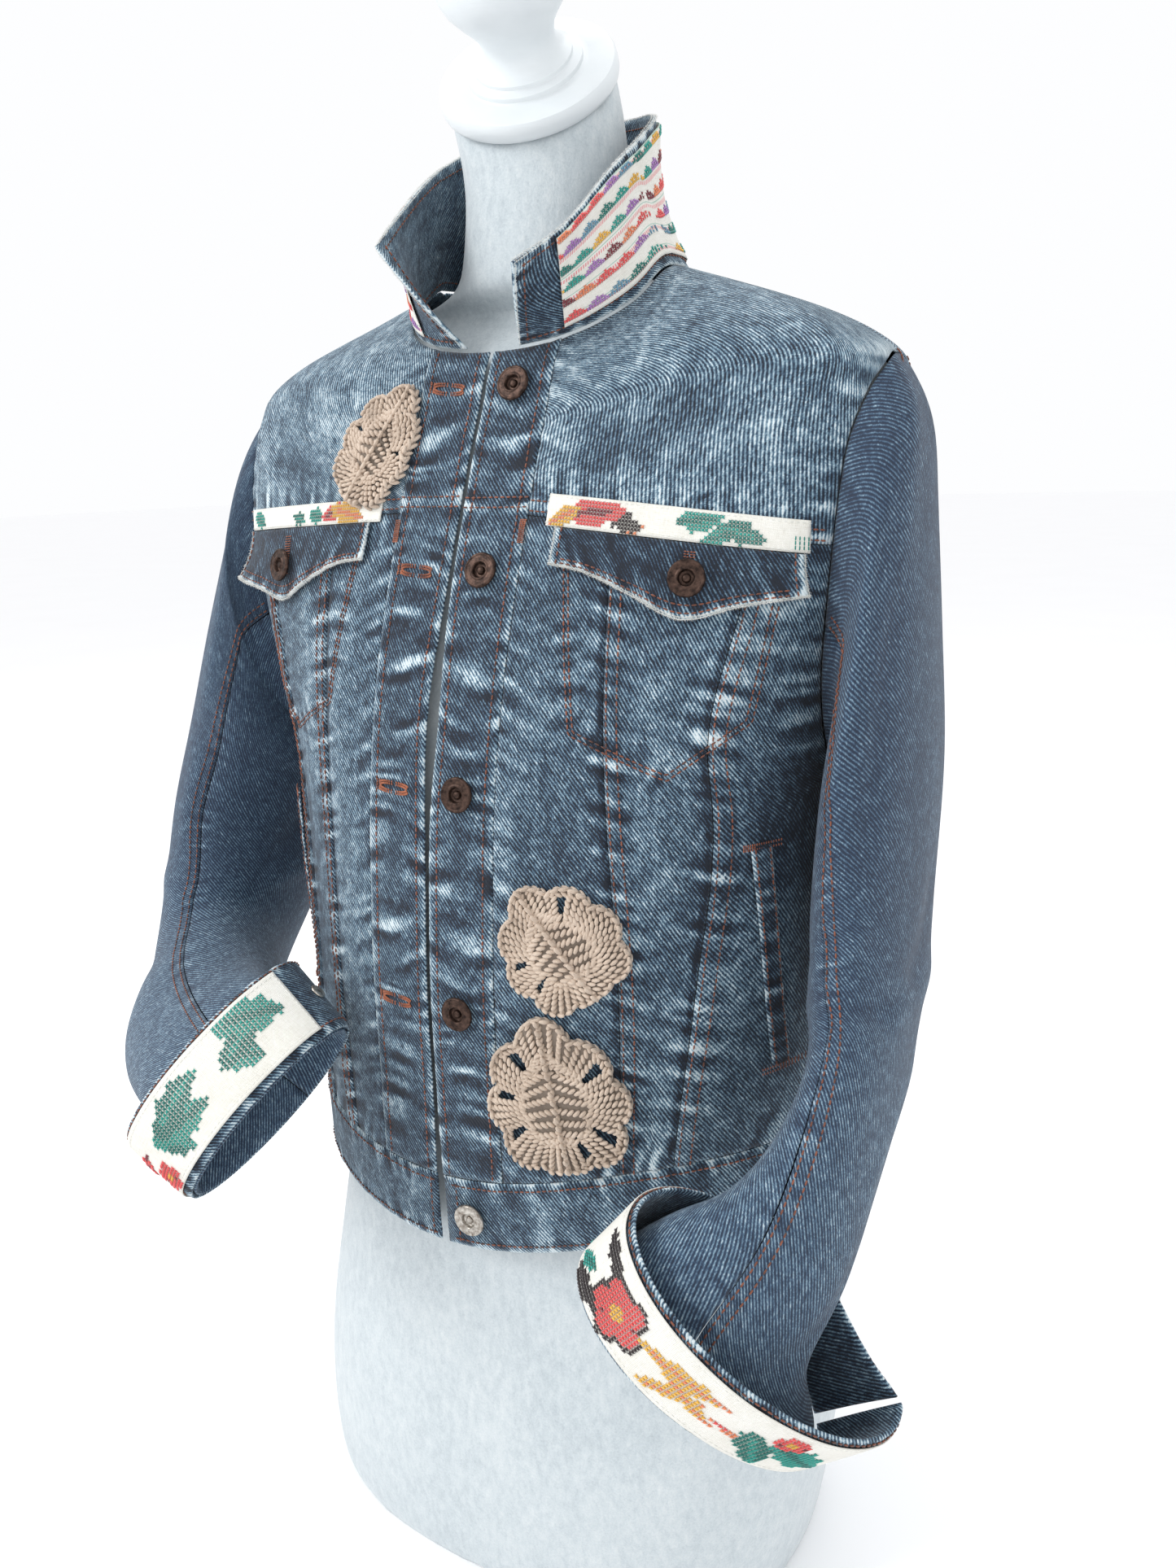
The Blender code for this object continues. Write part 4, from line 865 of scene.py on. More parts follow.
def back_yoke():
    last = {side: turn_at_yoke(side, False) for side in (-1, 1)}
    neck_share = 0.38

    def top(u):
        made = []
        for side in (-1, 1):
            across = np.abs(u - 0.5) * 2
            share = 1 - across / neck_share
            z = neck_back_z(share) - HALF_SEAM
            neck = pair(angle_at_x(side * neck_back_x(share), z, False), z)
            slope = pair(side * math.pi / 2, ridge((across - neck_share) / (1 - neck_share), side))
            made.append(np.where((across < neck_share)[..., None], neck, slope))
        return np.where((u >= 0.5)[..., None], made[1], made[0])

    def hole(side):
        def edge(v):
            curve_edge = armhole_edge(side, -last[side] * (1 - v))
            curve_edge = curve_edge + pair(0, np.where(v == 0, HALF_SEAM, 0))
            tip = pair(side * math.pi / 2, ridge(1.0, side) + 0 * v)
            return np.where((v > 0.999)[..., None], tip, curve_edge)
        return edge

    left, right = hole(-1), hole(1)
    bottom = level_line(back_yoke_z, left(np.array(0.0)), right(np.array(0.0)), HALF_SEAM, False)
    rows = 50
    grid = patch(left, right, bottom, top, 140, rows)
    every = np.arange(rows + 1)
    panel("back_yoke", grid, False, 0, body_denim,
          [(column, every, -last[side] * (1 - every / rows)) for column, side in ((0, -1), (-1, 1))])


def back_centre():
    left, right = [
        inset_line(back_seam(side), meeting(back_band_top, back_seam(side), HALF_SEAM),
                   meeting(back_yoke_z, back_seam(side), -HALF_SEAM), -side * HALF_SEAM, False)
        for side in (-1, 1)]
    bottom = level_line(back_band_top, left(np.array(0.0)), right(np.array(0.0)), HALF_SEAM, False)
    top = level_line(back_yoke_z, left(np.array(1.0)), right(np.array(1.0)), -HALF_SEAM, False)
    panel("back_centre_panel", patch(left, right, bottom, top, 76, 110), False, 0, body_denim)


back_yoke()
back_centre()
for hand in (1, -1):
    word = SIDES[hand]
    front_yoke(hand)
    front_strip(f"front_centre_panel_{word}", hand, placket_line(hand), seam_line(hand, 1), 28, 150)
    front_strip(f"front_middle_panel_{word}", hand, seam_line(hand, 1), seam_line(hand, 2), 28, 150)
    side_panel(hand, True)
    side_panel(hand, False)


# Plackets and waistband. Doubled strips of the same denim that face the front
# edges and close the hem, stitched on both sides so that they pucker across.

DOUBLE_DENIM = 2.4
STRIP_STAND = 0.7
WAISTBAND_RUN = 900
BUTTON_X = 18.5
BUTTON_HEIGHTS = (418, 334, 234, 129)
strip_denim = denim("stonewashed denim strip", -0.03, 1.2, 0.9)


def front_edge_x(side, z):
    return side * (1.3 + 2.2 * np.exp(-((z - 268) / 38) ** 2) + 1.2 * smooth((90 - z) / 80))


def placket_cloth(side, u, share, out=0.0):
    """Point, normal and fade of a placket: u from its edge, share up it."""
    u, share = shared(u, share)
    low = band_top(side * (2 + 34 * u)) + HALF_SEAM + 0.45
    z = low + (neck_front_z(0.4 * u) - HALF_SEAM - low) * share
    start = front_edge_x(side, z)
    x = start + (side * (PLACKET_WIDTH - HALF_SEAM) - start) * u
    angle = angle_at_x(x, z)
    seed = 41 if side > 0 else 47
    skew = z + 7 * np.sin(u * 2.4 + seed) * np.sin(z / 19 + seed) + 5 * ripple(z, seed + 3, 3) * u
    free = np.ones(z.shape)
    for level in BUTTON_HEIGHTS if side > 0 else ():
        free = free * (1 - near(np.hypot(x - BUTTON_X, z - level), 9))
    wave = ripple(skew, seed, 1.15) * (0.55 + 0.45 * np.sin(u * 7 + z / 8 + 2 * np.sin(z / 23))) * free
    edge = near(u * 36, 1.8) + near((1 - u) * 36, 1.6)
    height = 0.44 * wave + 0.25 * edge - 0.35 * near(u * 36 - 4.5, 1.2) - 0.35 * near(u * 36 - 31, 1.2)
    normal = torso_normal(angle, z, True)
    point = torso(angle, z, True) + (STRIP_STAND + height + out)[..., None] * normal
    return point, normal, 1.25 * wave + 0.7 * edge - 0.16


def cloth_piece(name, cloth, thick, material, fade_and_shading=None):
    """A piece of cloth from its points, normals and fade."""
    point, normal, tone = cloth
    mesh = wall(name, point, normal, thick, tone if fade_and_shading is None else fade_and_shading)
    return finished(name + "_cloth", mesh, material, name, [name])


for hand in (1, -1):
    strip = placket_cloth(hand, np.linspace(0, 1, 20)[None, :], np.linspace(0, 1, 230)[:, None])
    cloth_piece(f"placket_{SIDES[hand]}", strip, DOUBLE_DENIM, strip_denim)


def waistband_surface(along, rise):
    """Point and normal of the band: along 0 to 1 from the left front edge round."""
    side = np.where(along < 0.5, 1, -1)
    front = (along <= 0.25) | (along >= 0.75)
    share = np.where(along <= 0.25, along / 0.25, (1 - along) / 0.25)
    start = angle_at_x(side * np.abs(front_edge_x(side, rise)), rise)
    angle = np.where(front, start + (side * math.pi / 2 - start) * share,
                     ((0.75 - along) / 0.25 - 1) * math.pi / 2)
    made = []
    for ahead in (True, False):
        z = rise + 0 * angle
        for _ in range(2):
            z = hem_z(torso(angle, z, ahead)[..., 0], ahead) + rise
        z = z - 0.34 * (rise > 37.9)
        made.append((torso(angle, z, ahead) + np.array((0, 0.2 if ahead else -0.2, 0)),
                     torso_normal(angle, z, ahead)))
    choose = front[..., None]
    return np.where(choose, made[0][0], made[1][0]), np.where(choose, made[0][1], made[1][1])


def waistband_cloth(along, rise, out=0.0):
    along, rise = shared(along, rise)
    point, normal = waistband_surface(along, rise)
    run = along * WAISTBAND_RUN
    free = 1 - near(np.hypot(run - BUTTON_X, rise - 19), 10)
    edges = near(rise, 9) + near(WAISTBAND_HEIGHT - rise, 10)
    wave = (ripple(run + 0.25 * rise, 51) * edges + 0.4 * ripple(run, 55, 3)) * free
    rim = near(rise, 1.6) + near(WAISTBAND_HEIGHT - rise, 1.2)
    height = 0.45 * wave - 0.3 * near(rise - 4.5, 1.2) - 0.3 * near(rise - 33, 1.2)
    return point + (STRIP_STAND + height + out)[..., None] * normal, normal, 0.9 * wave + 0.8 * rim


strip = waistband_cloth(np.linspace(0, 1, 385)[None, :],
                        WAISTBAND_HEIGHT * np.linspace(0, 1, 23)[:, None])
cloth_piece("waistband", strip, DOUBLE_DENIM, strip_denim)


# Sleeves. Two pieces each, joined by a lapped seam down the front and a plain
# one behind; softer, plainer and bluer than the body, pushed out at the elbow.

sleeve_denim = denim("soft blue denim sleeve", -0.10, 0.7, 0.5, 0.15)
SLEEVE_SEAM = math.radians(105)
SLEEVE_LENGTH = 470.0
# Ridges and troughs as turn in degrees and share down, to the same, width, height.
SLEEVE_CREASES = {
    1: ((70, .10, 96, .34, 9, 2.0), (96, .34, 100, .50, 8, 1.6), (40, .18, 58, .42, 12, -1.2),
        (20, .05, 30, .20, 12, 1.0), (-20, .45, 20, .56, 10, -1.6), (-30, .52, 30, .62, 9, 1.6),
        (60, .50, 100, .60, 8, 1.6), (40, .60, 110, .66, 8, -1.6), (-40, .62, 20, .74, 10, 1.3),
        (0, .78, 60, .90, 9, -1.1), (-60, .75, -20, .92, 10, 1.1), (-90, .15, -70, .50, 13, 1.2),
        (150, .10, 170, .30, 12, 1.4), (180, .40, 150, .55, 10, -1.5), (200, .50, 160, .62, 10, 1.4)),
    -1: ((60, .08, 84, .30, 9, 1.2), (80, .35, 96, .52, 9, 1.2), (30, .25, 40, .50, 13, -1.0),
         (-20, .50, 30, .60, 10, -1.4), (-30, .58, 40, .66, 10, 1.4), (50, .56, 110, .64, 9, 1.3),
         (20, .66, 90, .74, 9, -1.2), (-50, .70, 10, .82, 10, 1.0), (-90, .15, -70, .50, 13, 1.2),
         (150, .10, 170, .30, 12, 1.3), (190, .42, 150, .55, 10, -1.4), (200, .52, 160, .62, 10, 1.4))}


def sleeve_spread(side, turn, along):
    """Millimetres round a sleeve for each radian of turn."""
    step = 0.02
    return np.linalg.norm(sleeve_surface(side, turn + step, along)
                          - sleeve_surface(side, turn - step, along), axis=-1) / (2 * step)


def sleeve_cloth(side, turn, along, out=0.0):
    """Point, normal and fade of a sleeve, with painted shading down it: turn round it, along down it."""
    turn, along = shared(turn, along)
    point = sleeve_surface(side, turn, along)
    normal = sleeve_normal(side, turn, along)
    spread = sleeve_spread(side, turn, along)
    table = [(t0, a0 * SLEEVE_LENGTH, t1, a1 * SLEEVE_LENGTH, w, h)
             for t0, a0, t1, a1, w, h in SLEEVE_CREASES[side]]
    down = along * SLEEVE_LENGTH
    wrapped = (np.degrees(turn) + 130) % 360 - 130
    calm = smooth(along / 0.05) * smooth((1 - along) / 0.04)
    height = creases(wrapped, down, table) * calm
    seam_off = (np.mod(turn - SLEEVE_SEAM + math.pi, 2 * math.pi) - math.pi) * np.minimum(spread, 60)
    rear_off = (np.mod(turn + SLEEVE_SEAM + math.pi, 2 * math.pi) - math.pi) * np.minimum(spread, 60)
    wave = ripple(down, 61 + side) * (near(seam_off, 7) + 0.6 * near(rear_off, 6))
    head = ripple(turn * 45, 65 + side) * near(down, 16)
    # Stonewash fade from creases, seams and the sleeve head, plus painted shading in the last two terms: the
    # upper arm darkened and the forearm lightened, as the light fell on the arm.
    fade_and_shading = 0.14 * height + 0.8 * wave + 0.8 * head - 0.24 + 0.42 * smooth((along - 0.5) / 0.3)
    height = height + 0.3 * wave + 0.35 * head * smooth(down / 4)
    height = height - 0.45 * near(seam_off - 3, 2.5) * (seam_off > 0) * calm
    return point + (height + out)[..., None] * normal, normal, fade_and_shading


def sleeve(side):
    for kind, first, last, cols in (("upper", -SLEEVE_SEAM, SLEEVE_SEAM, 62),
                                    ("under", SLEEVE_SEAM, 2 * math.pi - SLEEVE_SEAM, 40)):
        along = np.linspace(0, 1, 160)[:, None]
        turn = first + (last - first) * np.linspace(0, 1, cols + 1)[None, :] + 0 * along
        spread = sleeve_spread(side, turn, along)
        turn[:, 0] += 0.3 / np.maximum(spread[:, 0], 12)
        turn[:, -1] -= 0.3 / np.maximum(spread[:, -1], 12)
        point, normal, fade_and_shading = sleeve_cloth(side, turn, along)
        inward = DENIM * normal
        inward[0] = mitre(side, turn[0])
        ahead = unit(sleeve_surface(side, turn[0], 0.02) - point[0])
        point[0] = point[0] + ahead * 0.45
        name = f"sleeve_{kind}_{SIDES[side]}"
        mesh = wall(name, point, normal, DENIM, fade_and_shading, inward=inward, rounded=0.12)
        finished(name + "_cloth", mesh, sleeve_denim, name, [name])


sleeve(1)
sleeve(-1)


# Cuffs. Doubled denim bands turned back over the sleeve ends, open at a slit,
# each with a strip of embroidered off-white cotton sewn over most of it.

CUFF_DEPTH = 46.0
# Room at the tip, room on the near side, turn of the slit, way it points, pinch.
CUFFS = {1: (5.0, 4.0, math.radians(-14), (-0.70, 0.06, -0.71), 0.62),
         -1: (4.0, 2.0, math.radians(194), (0.86, -0.06, -0.50), 0.0)}
CUFF_COLUMNS = 32
CUFF_REACH = 38
PATCH_FOOT = 0.08
PATCH_SPAN = 0.86
PATCH_COLUMNS = {1: (2, 31), -1: (1, 28)}


def cuff_surface(side, turn, rise):
    tip, near_room, _, axis, pinch = CUFFS[side]
    at, front, across = [each(1.0) for each in sleeve_curves[side]]
    turn, rise = shared(turn, rise)
    room = DOUBLE_DENIM + 0.5
    long_half = np.linalg.norm(across) + room + tip * rise
    short_half = np.linalg.norm(front) + room + near_room * rise
    closing = 1 - pinch * rise * smooth((np.cos(turn) - 0.2) / 0.7)
    short_half = short_half * np.where(np.sin(turn) < 0, closing, 1)
    return (at - unit(np.array(axis)) * (CUFF_DEPTH * rise)[..., None]
            + (np.cos(turn) * long_half)[..., None] * unit(across)
            + (np.sin(turn) * short_half)[..., None] * unit(front))


def cuff_normal(side, turn, rise):
    across = cuff_surface(side, turn + 0.02, rise) - cuff_surface(side, turn - 0.02, rise)
    up = cuff_surface(side, turn, rise + 0.02) - cuff_surface(side, turn, rise - 0.02)
    normal = unit(np.cross(across, up))
    outward = cuff_surface(side, turn, rise) - cuff_surface(side, turn + math.pi, rise)
    return normal * np.sign((normal * outward).sum(-1, keepdims=True))


def cuff_turn(side, column):
    slit = CUFFS[side][2]
    return slit + 0.06 + (2 * math.pi - 0.12) * column / CUFF_COLUMNS


def cuff_cloth(side, turn, rise, out=0.0):
    normal = cuff_normal(side, turn, rise)
    turn, rise = np.broadcast_arrays(turn, rise)
    run = turn * CUFF_REACH
    edges = near(rise * CUFF_DEPTH, 7) + near((1 - rise) * CUFF_DEPTH, 6)
    wave = ripple(run, 71 + side) * edges
    rim = near((1 - rise) * CUFF_DEPTH, 1.4) + near(rise * CUFF_DEPTH, 1.4)
    point = cuff_surface(side, turn, rise) + (0.12 * wave + out)[..., None] * normal
    return point, normal, 0.9 * wave + 0.7 * rim - 0.2


def cotton(name, stripes=None):
    """Off-white cotton: a plain even weave, a little soft with washing."""
    look = Finish(name, Roughness=0.9, Sheen_Weight=0.15)
    cloth = look.stretched(look.cloth_place(), 1000, 1000)
    across, along, _ = look.parts(cloth)
    warp = (across * (2 * math.pi / 0.62)).sine() * 0.5 + 0.5
    weft = (along * (2 * math.pi / 0.62)).sine() * 0.5 + 0.5
    slub = look.noise(look.stretched(cloth, 1.4, 0.15), 1.2, 3) + look.noise(
        look.stretched(cloth, 0.15, 1.4), 1.2, 3)
    tone = (slub * 0.45 + look.noise(cloth, 0.05, 3) * 0.4 - warp * weft * 0.12).held()
    colour = look.add("ValToRGB", Fac=tone, stops=(
        (0.3, linear(206, 202, 190)), (0.55, linear(230, 228, 219)), (0.8, linear(242, 241, 235))))
    if stripes:
        colour = stripes(look, across, along, colour)
    return look.wear(colour, rough=0.84 + slub * 0.06, height=warp + weft + slub * 0.8, depth=0.00022,
                     strength=0.6)


plain_cotton = cotton("off-white cotton")


def patch_cloth(side, turn, rise, out=0.0):
    """Cotton over the cuff, drawn in a little where it is stitched down."""
    normal = cuff_normal(side, turn, rise)
    turn, rise = np.broadcast_arrays(turn, rise)
    ends = near((rise - 0.14) * CUFF_DEPTH, 1.3) + near((0.88 - rise) * CUFF_DEPTH, 1.3)
    height = 1.65 + 0.22 * ripple(turn * 30 + rise * 9, 77, 2.2) - 0.3 * ends
    point = cuff_surface(side, turn, rise) + (height + out)[..., None] * normal
    return point, normal, height


def cuff(side):
    tag = SIDES[side]
    turn = cuff_turn(side, np.linspace(0, CUFF_COLUMNS, 129))[None, :]
    rise = np.linspace(0, 1, 25)[:, None]
    cloth_piece(f"cuff_{tag}", cuff_cloth(side, turn, rise), DOUBLE_DENIM, strip_denim)
    first, last = PATCH_COLUMNS[side]
    turn = cuff_turn(side, np.linspace(first, last, 150))[None, :]
    rise = np.linspace(PATCH_FOOT, PATCH_FOOT + PATCH_SPAN, 30)[:, None]
    cloth_piece(f"cuff_patch_{tag}", patch_cloth(side, turn, rise), 0.9, plain_cotton, 0.0)


cuff(1)
cuff(-1)


# Collar. Doubled denim, standing and spread, frayed white along its edges; its
# outer side carries a patch of striped cotton with small stepped triangles.

COLLAR_TOP = (
    (0.00, (37, -71, 467), (-47, -62, 483)), (0.20, (47, -43, 486), (-52, -36, 502)),
    (0.40, (56, -17, 511), (-56, -8, 521)), (0.60, (58, 13, 531), (-57, 18, 535)),
    (0.78, (49, 44, 547), (-49, 46, 548)), (0.90, (27, 66, 552), (-27, 66, 552)),
    (1.00, (0, 74, 553), (0, 74, 553)))
collar_left, collar_right = curve(COLLAR_TOP, 1), curve(COLLAR_TOP, 2)
COLLAR_START = 0.09
COLLAR_HALF_LENGTH = 190
COLLAR_DEPTH = 82
COLLAR_PATCH_FOOT = 0.0875
COLLAR_PATCH_SPAN = 0.875
NECK_SPLIT = 0.55


def collar_surface(u, rise):
    """Outer side of the collar: u from -1 at the right leaf to 1 at the left."""
    u, rise = shared(u, rise)
    side = np.where(u < 0, -1, 1)
    share = 1 - np.abs(u)
    where = COLLAR_START + (1 - COLLAR_START) * share
    ahead = where <= NECK_SPLIT
    part = np.where(ahead, where / NECK_SPLIT, (where - NECK_SPLIT) / (1 - NECK_SPLIT))
    x = side * np.where(ahead, neck_front_x(part), neck_back_x(part))
    z = np.where(ahead, neck_front_z(part), neck_back_z(part))
    angle = angle_at_x(x, z)
    base = np.where(ahead[..., None], torso(angle, z, True) + (0, 0.2, 0),
                    torso(angle, z, False) - (0, 0.2, 0))
    top = np.where((side > 0)[..., None], collar_left(share), collar_right(share))
    up = unit(top - base)
    base = base + up
    outward = (base - (0, 28, 0)) * (1, 1, 0)
    away = unit(np.cross(up, np.cross(np.array([0, 0, 1.0]), outward)))
    hollow = np.sin(math.pi * rise) * (2.0 - 6.0 * smooth((share - 0.15) / 0.4))
    return base + (top - base) * rise[..., None] - away * hollow[..., None]


def collar_normal(u, rise):
    step = 0.012
    across = collar_surface(np.minimum(u + step, 1), rise) - collar_surface(np.maximum(u - step, -1), rise)
    up = collar_surface(u, np.minimum(rise + 0.04, 1)) - collar_surface(u, np.maximum(rise - 0.04, 0))
    normal = unit(np.cross(across, up))
    here = collar_surface(u, rise)
    return normal * np.sign((normal * ((here - (0, 30, 0)) * (1, 1, 0))).sum(-1, keepdims=True))


def collar_cloth(u, rise, out=0.0):
    normal = collar_normal(u, rise)
    u, rise = np.broadcast_arrays(u, rise)
    run = u * COLLAR_HALF_LENGTH
    high = rise * COLLAR_DEPTH
    from_top = COLLAR_DEPTH - high
    from_end = (1 - np.abs(u)) * COLLAR_HALF_LENGTH
    edges = near(from_top, 10) + near(high, 10) + near(from_end, 9)
    wave = ripple(np.where(np.abs(u) > 0.93, high, run), 81) * edges
    rim = near(from_top, 1.5) + near(from_end, 1.5) + near(high, 1.5)
    return (collar_surface(u, rise) + (0.14 * wave + out)[..., None] * normal, normal,
            0.85 * wave + 1.5 * rim - 0.1)


def woven_stripes(look, across, along, ground):
    """Thin pink hatched lines and green lines woven along the cotton."""
    level = (along * (1 / 13.0)).maths("FRACT", along * (1 / 13.0))
    pink = 1 - ((level - 0.30).maths("ABSOLUTE", level - 0.30)).over(0.075, 0.03)
    green = 1 - ((level - 0.47).maths("ABSOLUTE", level - 0.47)).over(0.022, 0.02)
    dash = (across * (2 * math.pi / 1.5)).sine().over(-0.1, 0.8)
    colour = look.mix(pink * dash * 0.75, ground, linear(226, 96, 112))
    return look.mix(green * 0.6, colour, linear(112, 178, 160))


striped_cotton = cotton("striped cotton", stripes=woven_stripes)
COLLAR_COLUMNS = 13


def collar():
    u = np.linspace(-1, 1, 193)[None, :]
    cloth_piece("collar", collar_cloth(u, np.linspace(0, 1, 33)[:, None]), DOUBLE_DENIM, strip_denim)
    edge = 1 - 2 / COLLAR_COLUMNS
    u = np.linspace(-edge, edge, 170)[None, :]
    rise = np.linspace(COLLAR_PATCH_FOOT, COLLAR_PATCH_FOOT + COLLAR_PATCH_SPAN, 34)[:, None]
    cloth_piece("collar_patch", collar_patch(u, rise), 0.8, striped_cotton, 0.0)


def collar_patch(u, rise, out=0.0):
    normal = collar_normal(u, rise)
    u, rise = np.broadcast_arrays(u, rise)
    height = 1.75 + 0.3 * np.sin(u * 21 + rise * 3.4)
    height = height + 0.18 * ripple(u * COLLAR_HALF_LENGTH - rise * 60, 87, 2.6)
    return collar_surface(u, rise) + (height + out)[..., None] * normal, normal, height


collar()


# Breast pockets and side welts. Pointed flaps of doubled denim with a frayed
# edge hang from the yoke seam under a cotton band; welts face the side pockets.

FLAPS = {1: ((54, 337), (70, 334), (92, 325), (116, 314), (138, 319), (160, 323)),
         -1: ((54, 338), (70, 336), (92, 327), (112, 317), (136, 322), (158, 327))}
FLAP_START = 54
FLAP_RUN = 106
FLAP_TOP_DROP = 4.5
FLAP_CORNER_LIFT = {1: 3.0, -1: 9.0}
LAID_GAP = 0.55
BAND_HEIGHT = {1: 14.0, -1: 11.0}
flap_edges = {side: curve(FLAPS[side], 1) for side in (1, -1)}


def flap_cloth(side, u, v, out=0.0):
    """A flap: u from the placket outwards, v from its point up."""
    u, v = shared(u, v)
    first, last = FLAPS[side][0][0], FLAPS[side][-1][0]
    x = first + (last - first) * u
    top = yoke_z(side * x) - FLAP_TOP_DROP
    low = flap_edges[side](x)
    z = low + (top - low) * v
    angle = angle_at_x(side * x, z)
    normal = torso_normal(angle, z, True)
    down = 1 - v
    lift = down ** 2 * (1 + FLAP_CORNER_LIFT[side] * smooth((u - 0.6) / 0.4))
    rim = near((z - low) * 0.9, 2.4) + near(u * 100, 2.2) + near((1 - u) * 100, 2.2)
    wave = ripple(x + 0.4 * z, 91 + side) * (near((z - low), 8) + 0.3)
    height = LAID_GAP + 1.85 + lift + (0.28 * wave + 0.35 * rim) * (v < 0.98)
    return (torso(angle, z, True) + (height + out)[..., None] * normal, normal,
            0.8 * wave + 1.5 * rim - 0.45)


def band_cloth(side, u, v, out=0.0):
    """The embroidered band over the top of a flap."""
    u, v = shared(u, v)
    first, last = FLAPS[side][0][0] - 6, FLAPS[side][-1][0] + 2
    x = side * (first + (last - first) * u)
    z = yoke_z(x) - FLAP_TOP_DROP + 0.5 + BAND_HEIGHT[side] * v
    angle = angle_at_x(x, z)
    normal = torso_normal(angle, z, True)
    height = LAID_GAP + 1.15 + 0.12 * ripple(x, 95, 1.6)
    return torso(angle, z, True) + (height + out)[..., None] * normal, normal, height


WELTS = {1: (147, 154), -1: (122, 127)}
WELT_HEIGHTS = (212, 103)
WELT_WIDTH = 11.0


def welt_cloth(side, u, v, out=0.0):
    u, v = shared(u, v)
    top_x, bottom_x = WELTS[side]
    x = side * (bottom_x + (top_x - bottom_x) * v)
    z = WELT_HEIGHTS[1] + (WELT_HEIGHTS[0] - WELT_HEIGHTS[1]) * v
    along = torso(angle_at_x(x, z) + 0.02, z, True) - torso(angle_at_x(x, z), z, True)
    angle = angle_at_x(x, z) + (u - 0.5) * WELT_WIDTH * 0.02 / np.linalg.norm(along, axis=-1)
    normal = torso_normal(angle, z, True)
    wave = ripple(z, 97 + side)
    rim = near(u * 11, 1.4) + near((1 - u) * 11, 1.4)
    height = LAID_GAP + 1.75 + 0.25 * wave
    return (torso(angle, z, True) + (height + out)[..., None] * normal, normal,
            0.8 * wave + 0.9 * rim - 0.3)


for hand in (1, -1):
    tag = SIDES[hand]
    for name, surface, thick, material, cols, rows in (
            (f"pocket_flap_{tag}", flap_cloth, 1.9, strip_denim, 90, 24),
            (f"embroidered_band_{tag}", band_cloth, 1.0, plain_cotton, 90, 10),
            (f"pocket_welt_{tag}", welt_cloth, 1.7, strip_denim, 10, 80)):
        flat_piece = surface(hand, np.linspace(0, 1, cols)[None, :], np.linspace(0, 1, rows)[:, None])
        cloth_piece(name, flat_piece, thick, material, 0.0 if material == plain_cotton else None)


# Crocheted leaves. Thick beige cotton yarn worked in fans of posts round a
# middle vein, with open slots between fans and a corded rim, sewn on by hand.

LEAVES = (
    ("leaf_chest", -57, 389, 62, 64, 46, 2.3, (9, 38)),
    ("leaf_upper", 72, 166, 128, 64, 60, 0.6, (9, 14, 42)),
    ("leaf_lower", 68, 90, 100, 82, 70, 1.4, (3, 9, 15, 26, 30, 40)))
LEAF_LOBES = 8
LEAF_SPOKES = 48


class Pattern:
    """A geometry tree that lays one small shape along what it is given."""

    def __init__(self, name, **sizes):
        self.tree = bpy.data.node_groups.new(name, "GeometryNodeTree")
        face = self.tree.interface
        face.new_socket("Laid on", in_out="INPUT", socket_type="NodeSocketGeometry")
        for key, value in sizes.items():
            made = face.new_socket(key, in_out="INPUT", socket_type="NodeSocketFloat")
            made.default_value = value
        face.new_socket("Finish", in_out="INPUT", socket_type="NodeSocketMaterial")
        face.new_socket("Made", in_out="OUTPUT", socket_type="NodeSocketGeometry")
        self.given = self.tree.nodes.new("NodeGroupInput")

    def input(self, name):
        return self.given.outputs[name]

    def add(self, kind, out=0, settings=None, **sockets):
        node = self.tree.nodes.new(kind)
        for key, value in (settings or {}).items():
            setattr(node, key, value)
        for key, value in sockets.items():
            place = node.inputs[int(key[1:])] if key[1:].isdigit() else node.inputs[key]
            for each in value if isinstance(value, list) else [value]:
                if isinstance(each, bpy.types.NodeSocket):
                    self.tree.links.new(each, place)
                else:
                    place.default_value = each
        return node.outputs[out] if isinstance(out, int) else [node.outputs[k] for k in out]

    def close(self, points, shape, turn, size):
        """Lay the shape on the points and finish the tree."""
        laid = self.add("GeometryNodeInstanceOnPoints", Points=points, Instance=shape,
                        Rotation=turn, Scale=size)
        plain = self.add("GeometryNodeRealizeInstances", s0=laid)
        smooth_one = self.add("GeometryNodeSetShadeSmooth", s0=plain)
        done = self.add("GeometryNodeSetMaterial", s0=smooth_one, Material=self.input("Finish"))
        end = self.tree.nodes.new("NodeGroupOutput")
        self.tree.links.new(done, end.inputs[0])

    def lay(self, name, mesh, material, slot, **sizes):
        """A plain mesh of the pattern laid on a mesh of lines or points."""
        thing = bpy.data.objects.new(name + "_lines", mesh)
        bpy.context.scene.collection.objects.link(thing)
        modifier = thing.modifiers.new("pattern", "NODES")
        modifier.node_group = self.tree
        for socket in self.tree.interface.items_tree:
            if socket.in_out == "INPUT" and socket.name in sizes:
                modifier[socket.identifier] = sizes[socket.name]
            if socket.name == "Finish":
                modifier[socket.identifier] = material
        made = as_mesh(thing)
        bpy.data.objects.remove(thing)
        made.name = name
        return finished(name, made, material, slot, [])


def ply_pattern():
    """Twisted yarn: two plies that cross slantwise again and again."""
    tree = Pattern("twisted yarn", Pitch=0.0016, Thick=0.0016, Slant=0.6)
    points, turn = tree.add("GeometryNodeCurveToPoints", (0, 3), {"mode": "LENGTH"},
                            Curve=tree.add("GeometryNodeMeshToCurve", Mesh=tree.input("Laid on")),
                            Length=tree.input("Pitch"))
    ball = tree.add("GeometryNodeMeshUVSphere", Segments=6, Rings=4, Radius=0.5)
    slant = tree.add("ShaderNodeCombineXYZ", X=tree.input("Slant"))
    strand = tree.add("GeometryNodeTransform", Geometry=ball, Rotation=slant, Scale=(1.0, 0.8, 1.75))
    size = tree.add("ShaderNodeCombineXYZ", X=tree.input("Thick"), Y=tree.input("Thick"),
                    Z=tree.input("Thick"))
    tree.close(points, strand, turn, size)
    return tree


